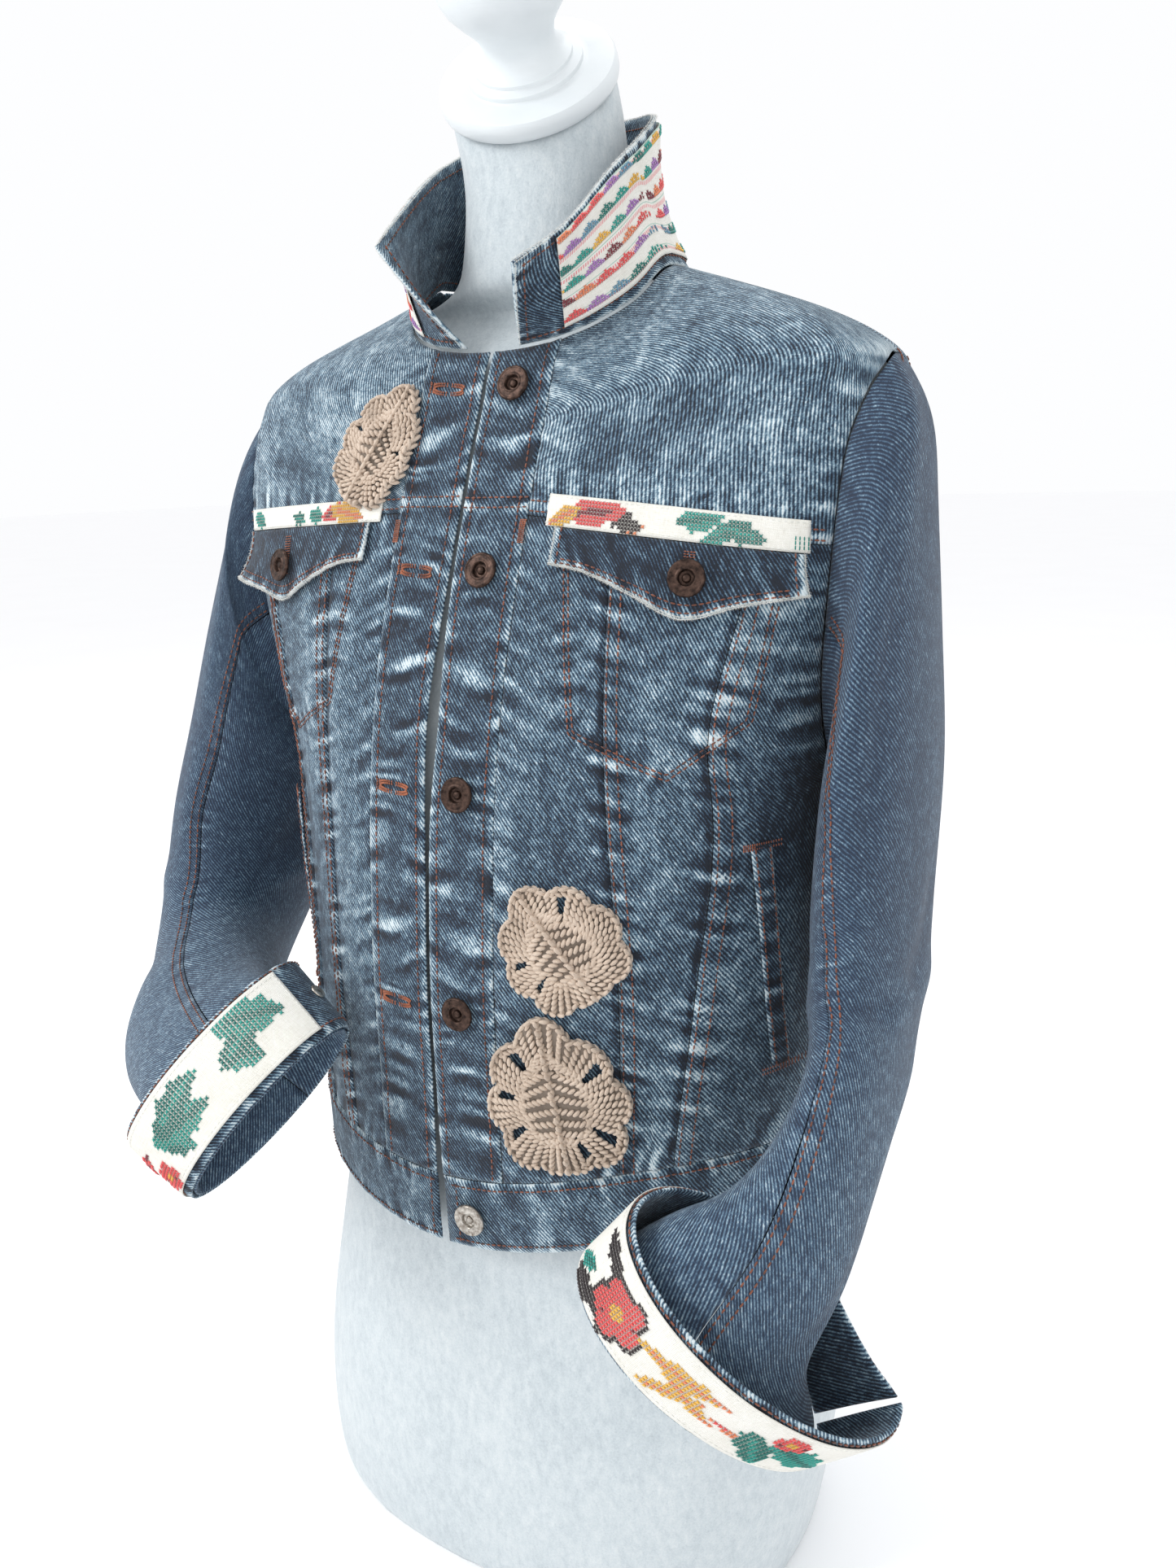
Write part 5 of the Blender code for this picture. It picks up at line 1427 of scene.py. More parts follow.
def chain_pattern():
    """Chain stitch: a row of V shapes, two leaning loops in each."""
    tree = Pattern("chain of loops", Pitch=0.0030, Thick=0.0017, Slant=0.5)
    points, turn = tree.add("GeometryNodeCurveToPoints", (0, 3), {"mode": "LENGTH"},
                            Curve=tree.add("GeometryNodeMeshToCurve", Mesh=tree.input("Laid on")),
                            Length=tree.input("Pitch"))
    ball = tree.add("GeometryNodeMeshUVSphere", Segments=6, Rings=4, Radius=0.5)
    loops = []
    for way in (1, -1):
        slant = tree.add("ShaderNodeCombineXYZ", Y=tree.add(
            "ShaderNodeMath", 0, {"operation": "MULTIPLY"}, s0=tree.input("Slant"), s1=float(way)))
        loops.append(tree.add("GeometryNodeTransform", Geometry=ball, Rotation=slant,
                              Translation=(0.42 * way, 0, 0), Scale=(0.85, 0.85, 2.1)))
    both = tree.add("GeometryNodeJoinGeometry", Geometry=loops)
    size = tree.add("ShaderNodeCombineXYZ", X=tree.input("Thick"), Y=tree.input("Thick"),
                    Z=tree.input("Thick"))
    tree.close(points, both, turn, size)
    return tree


yarn_plies = ply_pattern()
yarn_chain = chain_pattern()


def crochet_yarn(name, shade):
    look = Finish(name, Roughness=0.82, Sheen_Weight=0.2)
    seat = look.seat()
    fibre = look.noise(look.stretched(seat, 1, 1, 1), 2600, 3, 0.7)
    drift = look.noise(seat, 60, 3)
    colour = look.add("ValToRGB", Fac=(fibre * 0.55 + drift * 0.45).held(), stops=(
        (0.25, linear(*[c * shade * 0.72 for c in (176, 154, 136)])),
        (0.5, linear(*[c * shade for c in (200, 181, 163)])),
        (0.75, linear(*[c * shade for c in (224, 209, 194)]))))
    return look.wear(colour, height=fibre, depth=0.00025, strength=0.7)


leaf_yarn = crochet_yarn("beige crochet yarn", 1.0)
# The ground is the same yarn darkened to two thirds: painted shade among the posts and slots.
leaf_ground_shaded = crochet_yarn("beige crochet ground in painted shade", 0.66)


def lines_mesh(name, lines):
    """A mesh of open lines of points, in mm above the hem."""
    points = []
    edges = []
    for line in lines:
        start = len(points)
        points += [(p[0] * MM, p[1] * MM, (p[2] + HEM_HEIGHT) * MM) for p in line]
        edges += [(start + i, start + i + 1) for i in range(len(line) - 1)]
    mesh = bpy.data.meshes.new(name)
    mesh.from_pydata(points, edges, [])
    return mesh


def leaf_lobe(turn):
    return np.abs(np.cos(LEAF_LOBES * turn / 2)) ** 0.6


def leaf_flat(leaf, turn, ring):
    """X and height above the hem on a leaf: turn from its tip, ring 0 to 1."""
    _, x0, z0, lean, length, width, _, _ = leaf
    turn, ring = shared(turn, ring)
    from_tip = (turn + math.pi) % (2 * math.pi) - math.pi
    from_heel = turn % (2 * math.pi) - math.pi
    oval = 1 / np.hypot(np.cos(turn) / (length / 2), np.sin(turn) / (width / 2))
    reach = oval * (1 + 0.10 * near(from_tip, 0.35)) * (1 - 0.16 * near(from_heel, 0.35))
    reach = reach * (0.84 + 0.16 * leaf_lobe(turn)) * ring
    lean = math.radians(lean)
    return x0 + np.cos(turn + lean) * reach, z0 + np.sin(turn + lean) * reach


def leaf_place(leaf, turn, ring, out):
    """Point of a leaf, out over the cloth beneath it."""
    return over_front(*leaf_flat(leaf, turn, ring), leaf[6] + out)


def leaf(row):
    name, slots = row[0], row[-1]
    step = 2 * math.pi / LEAF_SPOKES
    fine = 4
    count = LEAF_SPOKES * fine
    rings = np.concatenate((np.linspace(0.04, 0.5, 8), np.linspace(0.55, 0.86, 8),
                            np.linspace(0.9, 0.985, 4)))
    turn = np.arange(count) * step / fine
    low = leaf_place(row, turn[None, :], rings[:, None], 0.15)
    grid = low.reshape(-1, 3)
    number = np.arange(len(rings) * count).reshape(len(rings), count)
    inside = {(first * fine + k) % count for first in slots for k in range(2 * fine)}
    faces = []
    for i in range(len(rings) - 1):
        slot_ring = rings[i] > 0.49 and rings[i + 1] < 0.87
        for j in range(count):
            if slot_ring and j in inside:
                continue
            k = (j + 1) % count
            faces.append((number[i, j], number[i + 1, j], number[i + 1, k], number[i, k]))
    faces.append(tuple(number[0][::-1]))
    mesh = bpy.data.meshes.new(name)
    mesh.from_pydata([(p[0] * MM, p[1] * MM, (p[2] + HEM_HEIGHT) * MM) for p in grid], [],
                     [tuple(int(v) for v in face) for face in faces])
    thing = bpy.data.objects.new(name + "_sheet", mesh)
    bpy.context.scene.collection.objects.link(thing)
    thick = thing.modifiers.new("thickness", "SOLIDIFY")
    thick.thickness = 1.5 * MM
    thick.offset = 1
    made = as_mesh(thing)
    bpy.data.objects.remove(thing)
    shape = bmesh.new()
    shape.from_mesh(made)
    bmesh.ops.recalc_face_normals(shape, faces=shape.faces)
    if shape.calc_volume(signed=True) < 0:
        bmesh.ops.reverse_faces(shape, faces=shape.faces)
    shape.to_mesh(made)
    shape.free()
    made.name = name
    # The sheet under the posts takes the darkened yarn, as painted shade between the posts.
    finished(name + "_ground", made, leaf_ground_shaded, name, [name])

    posts = []
    for spoke in range(LEAF_SPOKES):
        angle = spoke * step
        if any(0.5 < (spoke - first) % LEAF_SPOKES < 1.5 for first in slots):
            continue
        swell = 1.1 * leaf_lobe(np.array(angle))
        ring = np.linspace(0.48, 0.93, 12)
        posts.append(leaf_place(row, angle + 0 * ring, ring,
                                1.9 + swell * np.sin((ring - 0.45) / 0.48 * math.pi)))
    for first in slots:
        for ring_at in (0.485, 0.885):
            arc = np.linspace(first - 0.2, first + 2.2, 9) * step
            posts.append(leaf_place(row, arc, ring_at + 0 * arc, 2.0 + 0 * arc))
    ribs = []
    heel = leaf_flat(row, math.pi, 0.9)
    tip = leaf_flat(row, 0.0, 0.9)
    for spoke in range(2, LEAF_SPOKES, 2):
        angle = spoke * step
        if spoke == LEAF_SPOKES // 2:
            continue
        start = 0.5 + 0.36 * math.cos(angle)
        root = [h + (t - h) * start for h, t in zip(heel, tip)]
        end = leaf_flat(row, angle, 0.55)
        run = np.linspace(0.06, 1, 10)
        x, z = (r + (e - r) * run for r, e in zip(root, end))
        ribs.append(over_front(x, z, row[6] + 2.0 + 0.7 * np.sin(run * math.pi)))
    yarn_plies.lay(name + "_posts", lines_mesh(name, posts), leaf_yarn, name,
                   Pitch=0.0026, Thick=0.0027, Slant=0.75)
    yarn_plies.lay(name + "_ribs", lines_mesh(name, ribs), leaf_yarn, name,
                   Pitch=0.0027, Thick=0.0028, Slant=0.75)
    around = np.linspace(0, 2 * math.pi, 240)
    run = np.linspace(-0.93, 0.93, 40)
    chains = [leaf_place(row, around, 0.965 + 0 * around, 1.8 + 0 * around),
              leaf_place(row, np.where(run > 0, 0.0, math.pi), np.abs(run), 3.3 + 0 * run)]
    yarn_chain.lay(name + "_chains", lines_mesh(name, chains), leaf_yarn, name,
                   Pitch=0.0042, Thick=0.0027, Slant=0.6)


for leaf_row in LEAVES:
    leaf(leaf_row)


# Buttons and rivets. Pressed shank buttons with a raised ring and a hollow
# middle, in antique copper; the one on the waistband and the rivets are nickel.

BUTTON_DIAMETER = 17.0
FLAP_BUTTON_LIFT = 3.4


def old_metal(name, deep, bright, shine):
    look = Finish(name, Metallic=0.85)
    seat = look.seat()
    tarnish = look.noise(seat, 420, 4, 0.65)
    grime = look.noise(seat, 1600, 2, 0.6)
    colour = look.mix(tarnish.over(0.52, 0.35), deep, bright)
    return look.wear(colour, rough=shine + grime * 0.3, height=tarnish * 0.6 + grime * 0.4,
                     depth=0.00012, strength=0.6)


copper = old_metal("antique copper", linear(38, 29, 26), linear(92, 72, 63), 0.34)
nickel = old_metal("antique nickel", linear(118, 108, 98), linear(208, 204, 196), 0.18)


def upright_on(point, normal):
    """Matrix with its Z along a normal, at a point in mm above the hem."""
    z = Vector(normal).normalized()
    x = Vector((0, 0, 1)).cross(z).normalized()
    rotation = Matrix((x, z.cross(x), z)).transposed().to_4x4()
    return Matrix.Translation(Vector((point[0], point[1], point[2] + HEM_HEIGHT)) * MM) @ rotation


def shank_button(name, x, z, lift, metal):
    r = BUTTON_DIAMETER / 2
    profile = (
        (0, 3.1), (0.9, 3.05), (1.5, 2.8), (1.8, 2.3), (2.1, 1.5), (3.1, 1.4), (3.5, 1.9), (3.6, 3.1),
        (3.9, 3.65), (4.3, 3.8), (4.7, 3.65), (5.0, 3.45), (5.4, 3.5), (6.4, 3.55), (6.9, 3.45),
        (7.2, 3.6), (7.7, 3.75), (r - 0.35, 3.4), (r - 0.05, 2.8), (r, 2.4), (r - 0.3, 1.8),
        (r - 1.0, 1.35), (2.8, 0.95), (2.6, 0.7), (2.6, 0.0), (0, 0))
    angle = angle_at_x(x, z)
    normal = torso_normal(angle, z, True)
    base = torso(angle, z, True) + lift * normal
    piece = spun(name + "_turned", profile, upright_on(base, normal), metal, name, [name], 40)
    piece.data.set_sharp_from_angle(angle=math.radians(60))


for number, level in enumerate(BUTTON_HEIGHTS, 1):
    shank_button(f"front_button_{number}", BUTTON_X, level, 1.1, copper)
shank_button("waistband_button", BUTTON_X, 19, 1.1, nickel)
shank_button("flap_button_left", 117, 331, FLAP_BUTTON_LIFT, copper)
shank_button("flap_button_right", -114, 334, FLAP_BUTTON_LIFT, copper)
for hand in (1, -1):
    turn = CUFFS[hand][2] + (0.24 if hand > 0 else 2 * math.pi - 0.4)
    normal = cuff_normal(hand, np.array(turn), np.array(0.5))
    base = cuff_surface(hand, np.array(turn), np.array(0.5)) + 0.45 * normal
    profile = ((0, 1.25), (1.6, 1.22), (2.6, 1.1), (3.4, 0.95), (3.9, 0.7), (4.1, 0.4), (4.1, 0), (0, 0))
    name = f"cuff_rivet_{SIDES[hand]}"
    spun(name + "_turned", profile, upright_on(base, normal), nickel, name, [name], 36)


# Topstitching. Thick rust and brown thread in double rows beside every seam,
# with bar tacks and corded buttonholes worked over the cloth.

def stitch_pattern():
    """Straight stitches: rounded lengths of thread, one after another."""
    tree = Pattern("straight stitches", Pitch=0.0031, Length=0.0025, Thick=0.0007)
    points, turn = tree.add("GeometryNodeCurveToPoints", (0, 3), {"mode": "LENGTH"},
                            Curve=tree.add("GeometryNodeMeshToCurve", Mesh=tree.input("Laid on")),
                            Length=tree.input("Pitch"))
    ball = tree.add("GeometryNodeMeshUVSphere", Segments=5, Rings=3, Radius=0.5)
    size = tree.add("ShaderNodeCombineXYZ", X=tree.input("Thick"), Y=tree.input("Thick"),
                    Z=tree.input("Length"))
    tree.close(points, ball, turn, size)
    return tree


straight_stitch = stitch_pattern()


def thread(name, dark, bright):
    look = Finish(name, Roughness=0.6, Sheen_Weight=0.2)
    worn = look.noise(look.seat(), 90, 3)
    fibre = look.noise(look.seat(), 3000, 2)
    colour = look.mix(worn.over(0.5, 0.3), dark, bright)
    return look.wear(colour, height=fibre, depth=0.00012, strength=0.6)


rust_thread = thread("rust thread", linear(78, 42, 30), linear(136, 74, 48))
tack_thread = thread("orange thread", linear(118, 62, 38), linear(172, 98, 62))


# Distances of the double rows from their seams, in millimetres.
LAP_ROWS = (1.6, 6.2)
YOKE_ROWS = (1.8, 6.4)
ARMHOLE_ROWS = (2.2, 7.0)


def topstitch(part, lines, slot):
    straight_stitch.lay(part + "_topstitch", lines_mesh(part, lines), rust_thread, slot,
                        Pitch=0.0031, Length=0.0027, Thick=0.00095)


def front_line(side, x, z, out=0.3):
    """Line on a front, over the folds of the cloth."""
    x, z = shared(x, z)
    height, _ = front_relief(x, z, side)
    return over_front(x, z, height + out)


def back_line(x, z, out=0.3):
    x, z = shared(x, z)
    angle = angle_at_x(x, z, False)
    height, _ = back_relief(x, z)
    return torso(angle, z, False) + (height + out)[..., None] * torso_normal(angle, z, False)


def offset_path(path, off):
    """A path moved sideways by off, kept mitred at its corners."""
    path = np.array(path, float)
    run = unit(np.diff(path, axis=0))
    side = np.stack((-run[:, 1], run[:, 0]), -1)
    first = np.concatenate((side[:1], side))
    second = np.concatenate((side, side[-1:]))
    mid = unit(first + second)
    return path + mid * (off / np.maximum((mid * first).sum(-1, keepdims=True), 0.5))


def along_path(path, spacing=2.0):
    path = np.array(path, float)
    length = np.concatenate(([0], np.cumsum(np.linalg.norm(np.diff(path, axis=0), axis=1))))
    at = np.linspace(0, length[-1], max(int(length[-1] / spacing), 2))
    return np.stack([np.interp(at, length, path[:, k]) for k in (0, 1)], -1)


def stitch_fronts():
    lines = []
    for side in (1, -1):
        for index in (1, 2):
            line = seam_curves[side, index]
            z = np.linspace(float(band_top(side * line(20))) + 2, float(yoke_z(side * line(350))) - 2, 170)
            for off in LAP_ROWS:
                lines.append(front_line(side, side * (line(z) + off), z))
        x = side * np.linspace(PLACKET_WIDTH + 2, 166, 90)
        for off in YOKE_ROWS:
            lines.append(front_line(side, x, yoke_z(x) + off))
        for off in (-1.1, 1.1):
            spot = along_path(offset_path(POCKETS[side], off))
            lines.append(front_line(side, spot[:, 0], spot[:, 1]))
        turns = np.linspace(0.12, math.pi - 0.1, 120)
        angle, z, _ = armhole(side, turns)
        for off in ARMHOLE_ROWS:
            hole = torso(angle, z, True)
            x, level = hole[:, 0], hole[:, 2]
            spot = offset_path(np.stack((x, level), -1), off * side)
            inside = np.abs(spot[:, 0]) < np.abs(x) + 12
            lines.append(front_line(side, spot[inside, 0], spot[inside, 1]))
        for u in (0.13, 0.86):
            lines.append(placket_cloth(side, u, np.linspace(0.006, 0.994, 200), 0.32)[0])
        across = np.linspace(0.04, 0.96, 16)
        low = band_top(side * (2 + 34 * across))
        for off in YOKE_ROWS:
            share = (yoke_z(side * 20.0) + off - low) / (neck_front_z(0.4 * across) - low)
            lines.append(placket_cloth(side, across, share, 0.32)[0])
        spread = np.linspace(0.06, 0.94, 44)
        for v_off in (2.4, 5.6):
            lines.append(flap_cloth(side, spread, v_off / 30, 0.32)[0])
        for u in (0.03, 0.97):
            lines.append(flap_cloth(side, u, np.linspace(0.1, 0.95, 12), 0.32)[0])
        for u in (0.86, 0.16):
            lines.append(welt_cloth(side, u, np.linspace(0.02, 0.98, 50), 0.3)[0])
    for rise in (3.6, 34.0):
        lines.append(waistband_cloth(np.linspace(0.003, 0.997, 420), rise, 0.32)[0])
    for along in (0.004, 0.996):
        lines.append(waistband_cloth(along, np.linspace(3.6, 34, 12), 0.32)[0])
    topstitch("front", lines, "waistband")


def stitch_back():
    lines = []
    x = np.linspace(-168, 168, 180)
    for off in YOKE_ROWS:
        lines.append(back_line(x, back_yoke_z(x) + off))
    for side in (1, -1):
        z = np.linspace(62, 334, 150)
        for off in LAP_ROWS:
            lines.append(back_line(back_seam(side)(z) + side * off, z))
        turns = np.linspace(math.pi + 0.1, 2 * math.pi - 0.12, 120)
        angle, z, _ = armhole(side, turns)
        hole = torso(angle, z, False)
        for off in ARMHOLE_ROWS:
            spot = offset_path(np.stack((hole[:, 0], hole[:, 2]), -1), off * side)
            lines.append(back_line(spot[:, 0], spot[:, 1]))
    topstitch("back", lines, "back_yoke")


def stitch_sleeves():
    lines = []
    for side in (1, -1):
        along = np.linspace(0.02, 0.985, 220)
        for off in (2.0, 6.5):
            spread = sleeve_spread(side, SLEEVE_SEAM, along)
            lines.append(sleeve_cloth(side, SLEEVE_SEAM - off / np.maximum(spread, 12), along, 0.3)[0])
        turn = cuff_turn(side, np.linspace(0.3, CUFF_COLUMNS - 0.3, 140))
        for rise in (0.10, 0.965):
            lines.append(cuff_cloth(side, turn, rise, 0.3)[0])
    topstitch("sleeve", lines, "sleeve_upper_left")


def stitch_collar():
    lines = []
    end, low, high = 0.965, 0.08, 0.93
    both_sides = (0.3, -DOUBLE_DENIM - 0.3)
    for rise in (high, low):
        for out in both_sides:
            lines.append(collar_cloth(np.linspace(-end, end, 300), rise, out)[0])
    for u in (-end, end):
        for out in both_sides:
            lines.append(collar_cloth(u, np.linspace(low, high, 40), out)[0])
    topstitch("collar", lines, "collar")


stitch_fronts()
stitch_back()
stitch_sleeves()
stitch_collar()


def tack_lines(centre, run, length, width, surface):
    """Zigzag of close stitches over a short bar."""
    lines = []
    count = int(length / 0.62)
    for k in range(count):
        at = (k / (count - 1) - 0.5) * length
        x = centre[0] + run[0] * at
        z = centre[1] + run[1] * at
        ends = np.array((-0.5, 0.0, 0.5)) * width
        lines.append(surface(x - run[1] * ends, z + run[0] * ends))
    return lines


def buttonholes_and_tacks():
    def on_right_placket(x, z):
        low = band_top(x) + 0.6
        share = (z - low) / (435 - low)
        return placket_cloth(-1, np.abs(x) / PLACKET_WIDTH, share, 0.55)[0]

    def on_front(side, out=0.55):
        return lambda x, z: front_line(side, x, z, out)

    lines = []
    for level in BUTTON_HEIGHTS:
        turn = np.linspace(0, 2 * math.pi, 56)
        for k in turn:
            x = -19.5 + 9.0 * np.sign(math.cos(k)) * abs(math.cos(k)) ** 0.6
            z = level - 1 + 1.5 * math.sin(k)
            spot = np.array((0.0, 1.0, 2.0)) * 0.55
            lines.append(on_right_placket(x + spot * math.cos(k) * 0.6,
                                          z + spot * (1 if math.sin(k) > 0 else -1)))
        lines += tack_lines((-30, level - 1), (0, 1), 4.5, 2.0, on_right_placket)
    for side in (1, -1):
        top_x, bottom_x = WELTS[side]
        lines += tack_lines((side * top_x, WELT_HEIGHTS[0]), (1, 0), 11, 2.2, on_front(side, 2.9))
        lines += tack_lines((side * bottom_x, WELT_HEIGHTS[1]), (1, 0), 11, 2.2, on_front(side, 2.9))
        lines += tack_lines((side * 36, 352), (0, 1), 10, 2.2, on_front(side, 1.4))
    for side, x0 in ((1, 117), (-1, 114)):
        for k in np.linspace(-1, 1, 16):
            for way in (-0.7, 0.7):
                spots = x0 + way + np.array((0, 0.6, 1.2)) * np.sign(way)
                u = (spots - FLAP_START) / FLAP_RUN
                v = 0.62 + 0.26 * k
                lines.append(flap_cloth(side, u, v, 0.4)[0])
    straight_stitch.lay("tacks_and_buttonholes", lines_mesh("tacks", lines), tack_thread,
                        "placket_right", Pitch=0.0011, Length=0.0013, Thick=0.0007)


buttonholes_and_tacks()


# Embroidery. Cross stitches in cotton floss, counted over the weave: sprigs and
# blossoms on cuffs and bands, small stepped triangles in rows on the collar.

FLOSS = {
    "t": linear(30, 160, 146), "g": linear(20, 122, 112), "c": linear(234, 88, 88),
    "y": linear(238, 186, 74), "k": linear(48, 38, 40), "m": linear(128, 44, 56),
    "v": linear(172, 124, 190), "b": linear(110, 156, 180), "o": linear(236, 140, 96)}


def cross_pattern():
    """Cross stitches on points, each turned to the cloth that it is sewn on."""
    tree = Pattern("cross stitches", Size=0.002, Thick=0.4)
    grain = tree.add("GeometryNodeMeshUVSphere", Segments=4, Rings=2, Radius=0.5)
    arms = []
    for way in (1, -1):
        arms.append(tree.add("GeometryNodeTransform", Geometry=grain,
                             Rotation=(0, 0, way * math.pi / 4), Translation=(0, 0, 0.10 + 0.08 * way),
                             Scale=(1.62, 0.66, 0.46)))
    both = tree.add("GeometryNodeJoinGeometry", Geometry=arms)
    facing, heading = [
        tree.add("GeometryNodeInputNamedAttribute", 0, {"data_type": "FLOAT_VECTOR"}, Name=word)
        for word in ("facing", "heading")]
    turn = tree.add("FunctionNodeAxesToRotation", 0, {"primary_axis": "Z", "secondary_axis": "X"},
                    s0=facing, s1=heading)
    size = tree.add("ShaderNodeCombineXYZ", X=tree.input("Size"), Y=tree.input("Size"),
                    Z=tree.input("Size"))
    tree.close(tree.input("Laid on"), both, turn, size)
    return tree


cross_stitch = cross_pattern()


def floss_finish():
    look = Finish("cotton floss", Roughness=0.55, Sheen_Weight=0.25)
    colour = look.marked("floss", 0)
    fibre = look.noise(look.seat(), 2400, 3)
    shade = look.mix(fibre.over(0.5, 0.6) * 0.16, colour, (0.02, 0.02, 0.02))
    return look.wear(shade, height=fibre, depth=0.00015, strength=0.6)


cotton_floss = floss_finish()


def embroider(name, slot, chart, surface, pitch):
    """Cross stitch a chart: colour letter by mm across and mm up, or a space."""
    share = np.linspace(0, 1, 200)
    width, depth = (float(np.linalg.norm(np.diff(surface(u, v)[0], axis=0), axis=1).sum())
                    for u, v in ((share, 0.5 + 0 * share), (0.5 + 0 * share, share)))
    stitches = []
    cols = int(width / pitch)
    rows = int(depth / pitch)
    for j in range(cols):
        for i in range(rows):
            s = (j + 0.5) * pitch
            r = (i + 0.5) * pitch
            letter = chart(s, r)
            if letter != " ":
                stitches.append((s / width, r / depth, letter))
    u = np.array([row[0] for row in stitches])
    v = np.array([row[1] for row in stitches])
    point, normal = surface(u, v)
    ahead, _ = surface(u + 0.004, v)
    heading = unit(ahead - point)
    mesh = bpy.data.meshes.new(name)
    place = point.copy()
    place[:, 2] += HEM_HEIGHT
    mesh.from_pydata(place * MM, [], [])
    for word, data in (("facing", normal), ("heading", heading)):
        mesh.attributes.new(word, "FLOAT_VECTOR", "POINT").data.foreach_set("vector", data.ravel())
    tint = np.array([(*FLOSS[row[2]], 1.0) for row in stitches])
    mesh.attributes.new("floss", "FLOAT_COLOR", "POINT").data.foreach_set("color", tint.ravel())
    cross_stitch.lay(name, mesh, cotton_floss, slot, Size=pitch * MM * 0.98)


def in_leaf(s, r, s0, r0, lean, length, width):
    """1 inside a pointed leaf, 2 on its vein, else 0."""
    c, n = math.cos(lean), math.sin(lean)
    a = ((s - s0) * c + (r - r0) * n) / length
    b = (-(s - s0) * n + (r - r0) * c) / width
    if not 0 < a < 1:
        return 0
    edge = 0.5 * math.sin(math.pi * a) ** 0.8 * (0.86 + 0.14 * math.cos(a * 22))
    if abs(b) > edge:
        return 0
    return 2 if abs(b) < 0.09 and a < 0.8 else 1


def sprays(motifs):
    """A chart of leaves and blossoms laid out along a strip."""
    def chart(s, r):
        for kind, s0, r0, lean, size, fat in motifs:
            if kind == "blossom":
                off = math.hypot(s - s0, r - r0)
                petal = size * (0.74 + 0.26 * abs(math.cos(2.5 * math.atan2(r - r0, s - s0) + lean)))
                if off < size * 0.26:
                    return "y"
                if off < petal:
                    return "m" if off > size * 0.45 and abs(math.sin(2.5 * math.atan2(
                        r - r0, s - s0) + lean + 1.57)) < 0.1 else "c"
                if off < petal + fat:
                    return "k"
            else:
                hit = in_leaf(s, r, s0, r0, lean, size, fat)
                if hit:
                    return SPRAY_LETTERS[kind][hit - 1]
        return " "
    return chart


SPRAY_LETTERS = {"teal": "tg", "deep": "gt", "gold": "yo", "dark": "kk", "rust": "oc", "coral": "cm"}
LEFT_CUFF_SPRAYS = (
    ("blossom", 54, 30, 0.4, 7, 0), ("teal", 30, 12, 0.5, 34, 18), ("deep", 52, 2, 1.0, 30, 15),
    ("rust", 60, 14, 0.2, 22, 5), ("gold", 78, 30, -0.25, 40, 10), ("gold", 76, 12, 0.35, 34, 9),
    ("gold", 84, 22, -0.7, 30, 8), ("blossom", 128, 18, 0.9, 15, 2.2), ("dark", 136, 30, 0.1, 26, 10),
    ("dark", 134, 6, -0.1, 30, 11), ("teal", 150, 16, -0.5, 20, 9), ("deep", 182, 1, 0.35, 20, 8),
    ("teal", 232, 4, 0.6, 34, 18), ("deep", 238, 30, -0.3, 28, 13), ("blossom", 284, 14, 0.5, 11, 2.0),
    ("gold", 292, 26, 0.4, 26, 10))
RIGHT_CUFF_SPRAYS = (
    ("teal", 244, 20, 2.6, 36, 22), ("deep", 238, 30, 3.5, 34, 18), ("teal", 224, 8, 2.3, 22, 14),
    ("deep", 200, 30, 3.3, 36, 18), ("teal", 196, 14, 2.9, 38, 20), ("deep", 178, 4, 2.2, 26, 14),
    ("blossom", 150, 8, 0.4, 9, 0), ("coral", 150, 26, 3.4, 26, 9), ("teal", 120, 10, 2.6, 34, 18),
    ("gold", 92, 22, 3.0, 28, 10), ("deep", 70, 26, 3.6, 34, 17), ("blossom", 30, 20, 0.8, 12, 2.0))
LEFT_BAND_SPRAYS = (
    ("gold", 2, 1, 0.5, 18, 9), ("coral", 8, 6, 0.12, 34, 15), ("dark", 31, 9, -0.35, 20, 11),
    ("rust", 38, 2, 0.15, 14, 6), ("teal", 66, 8, 0.2, 22, 13), ("deep", 84, 9, -0.25, 22, 12),
    ("teal", 78, 1, 0.3, 14, 8))
RIGHT_BAND_SPRAYS = (
    ("gold", 12, 2, 0.25, 26, 13), ("coral", 24, 9, -0.3, 20, 10), ("teal", 42, 3, 0.3, 12, 9),
    ("deep", 56, 2, 0.35, 12, 8), ("teal", 96, 2, 0.4, 16, 10))


def on_cuff(side):
    first, last = PATCH_COLUMNS[side]

    def surface(u, v):
        turn = cuff_turn(side, first + (last - first) * np.minimum(u, 1))
        rise = PATCH_FOOT + PATCH_SPAN * v
        point, normal, _ = patch_cloth(side, turn, rise, 0.1)
        return point, normal
    return surface


def on_band(side):
    def surface(u, v):
        point, normal, _ = band_cloth(side, np.minimum(u, 1), v, 0.1)
        return point, normal
    return surface


for hand, cuff_motifs, band_motifs in (
        (1, LEFT_CUFF_SPRAYS, LEFT_BAND_SPRAYS), (-1, RIGHT_CUFF_SPRAYS, RIGHT_BAND_SPRAYS)):
    tag = SIDES[hand]
    embroider(f"cuff_sprays_{tag}", f"cuff_patch_{tag}", sprays(cuff_motifs), on_cuff(hand), 2.0)
    embroider(f"band_sprays_{tag}", f"embroidered_band_{tag}", sprays(band_motifs), on_band(hand), 1.65)

TRIANGLE_COLOURS = "ctmvyobtcgv"
TRIANGLE_PITCH = 1.5


def triangle_rows(s, r):
    """Stepped triangles in rows, each in its own colour."""
    row = int(r / 13.0)
    level = int((r - row * 13.0) / TRIANGLE_PITCH) - 3
    base = 9
    column = int(s / TRIANGLE_PITCH) + row * 4
    along = column % base
    if not 0 <= level < 4 or abs(along - base // 2) > 4 - level - (level == 3):
        return " "
    if (along + level) % 2 and level == 1:
        return " "
    return TRIANGLE_COLOURS[(column // base * 3 + row * 2) % len(TRIANGLE_COLOURS)]


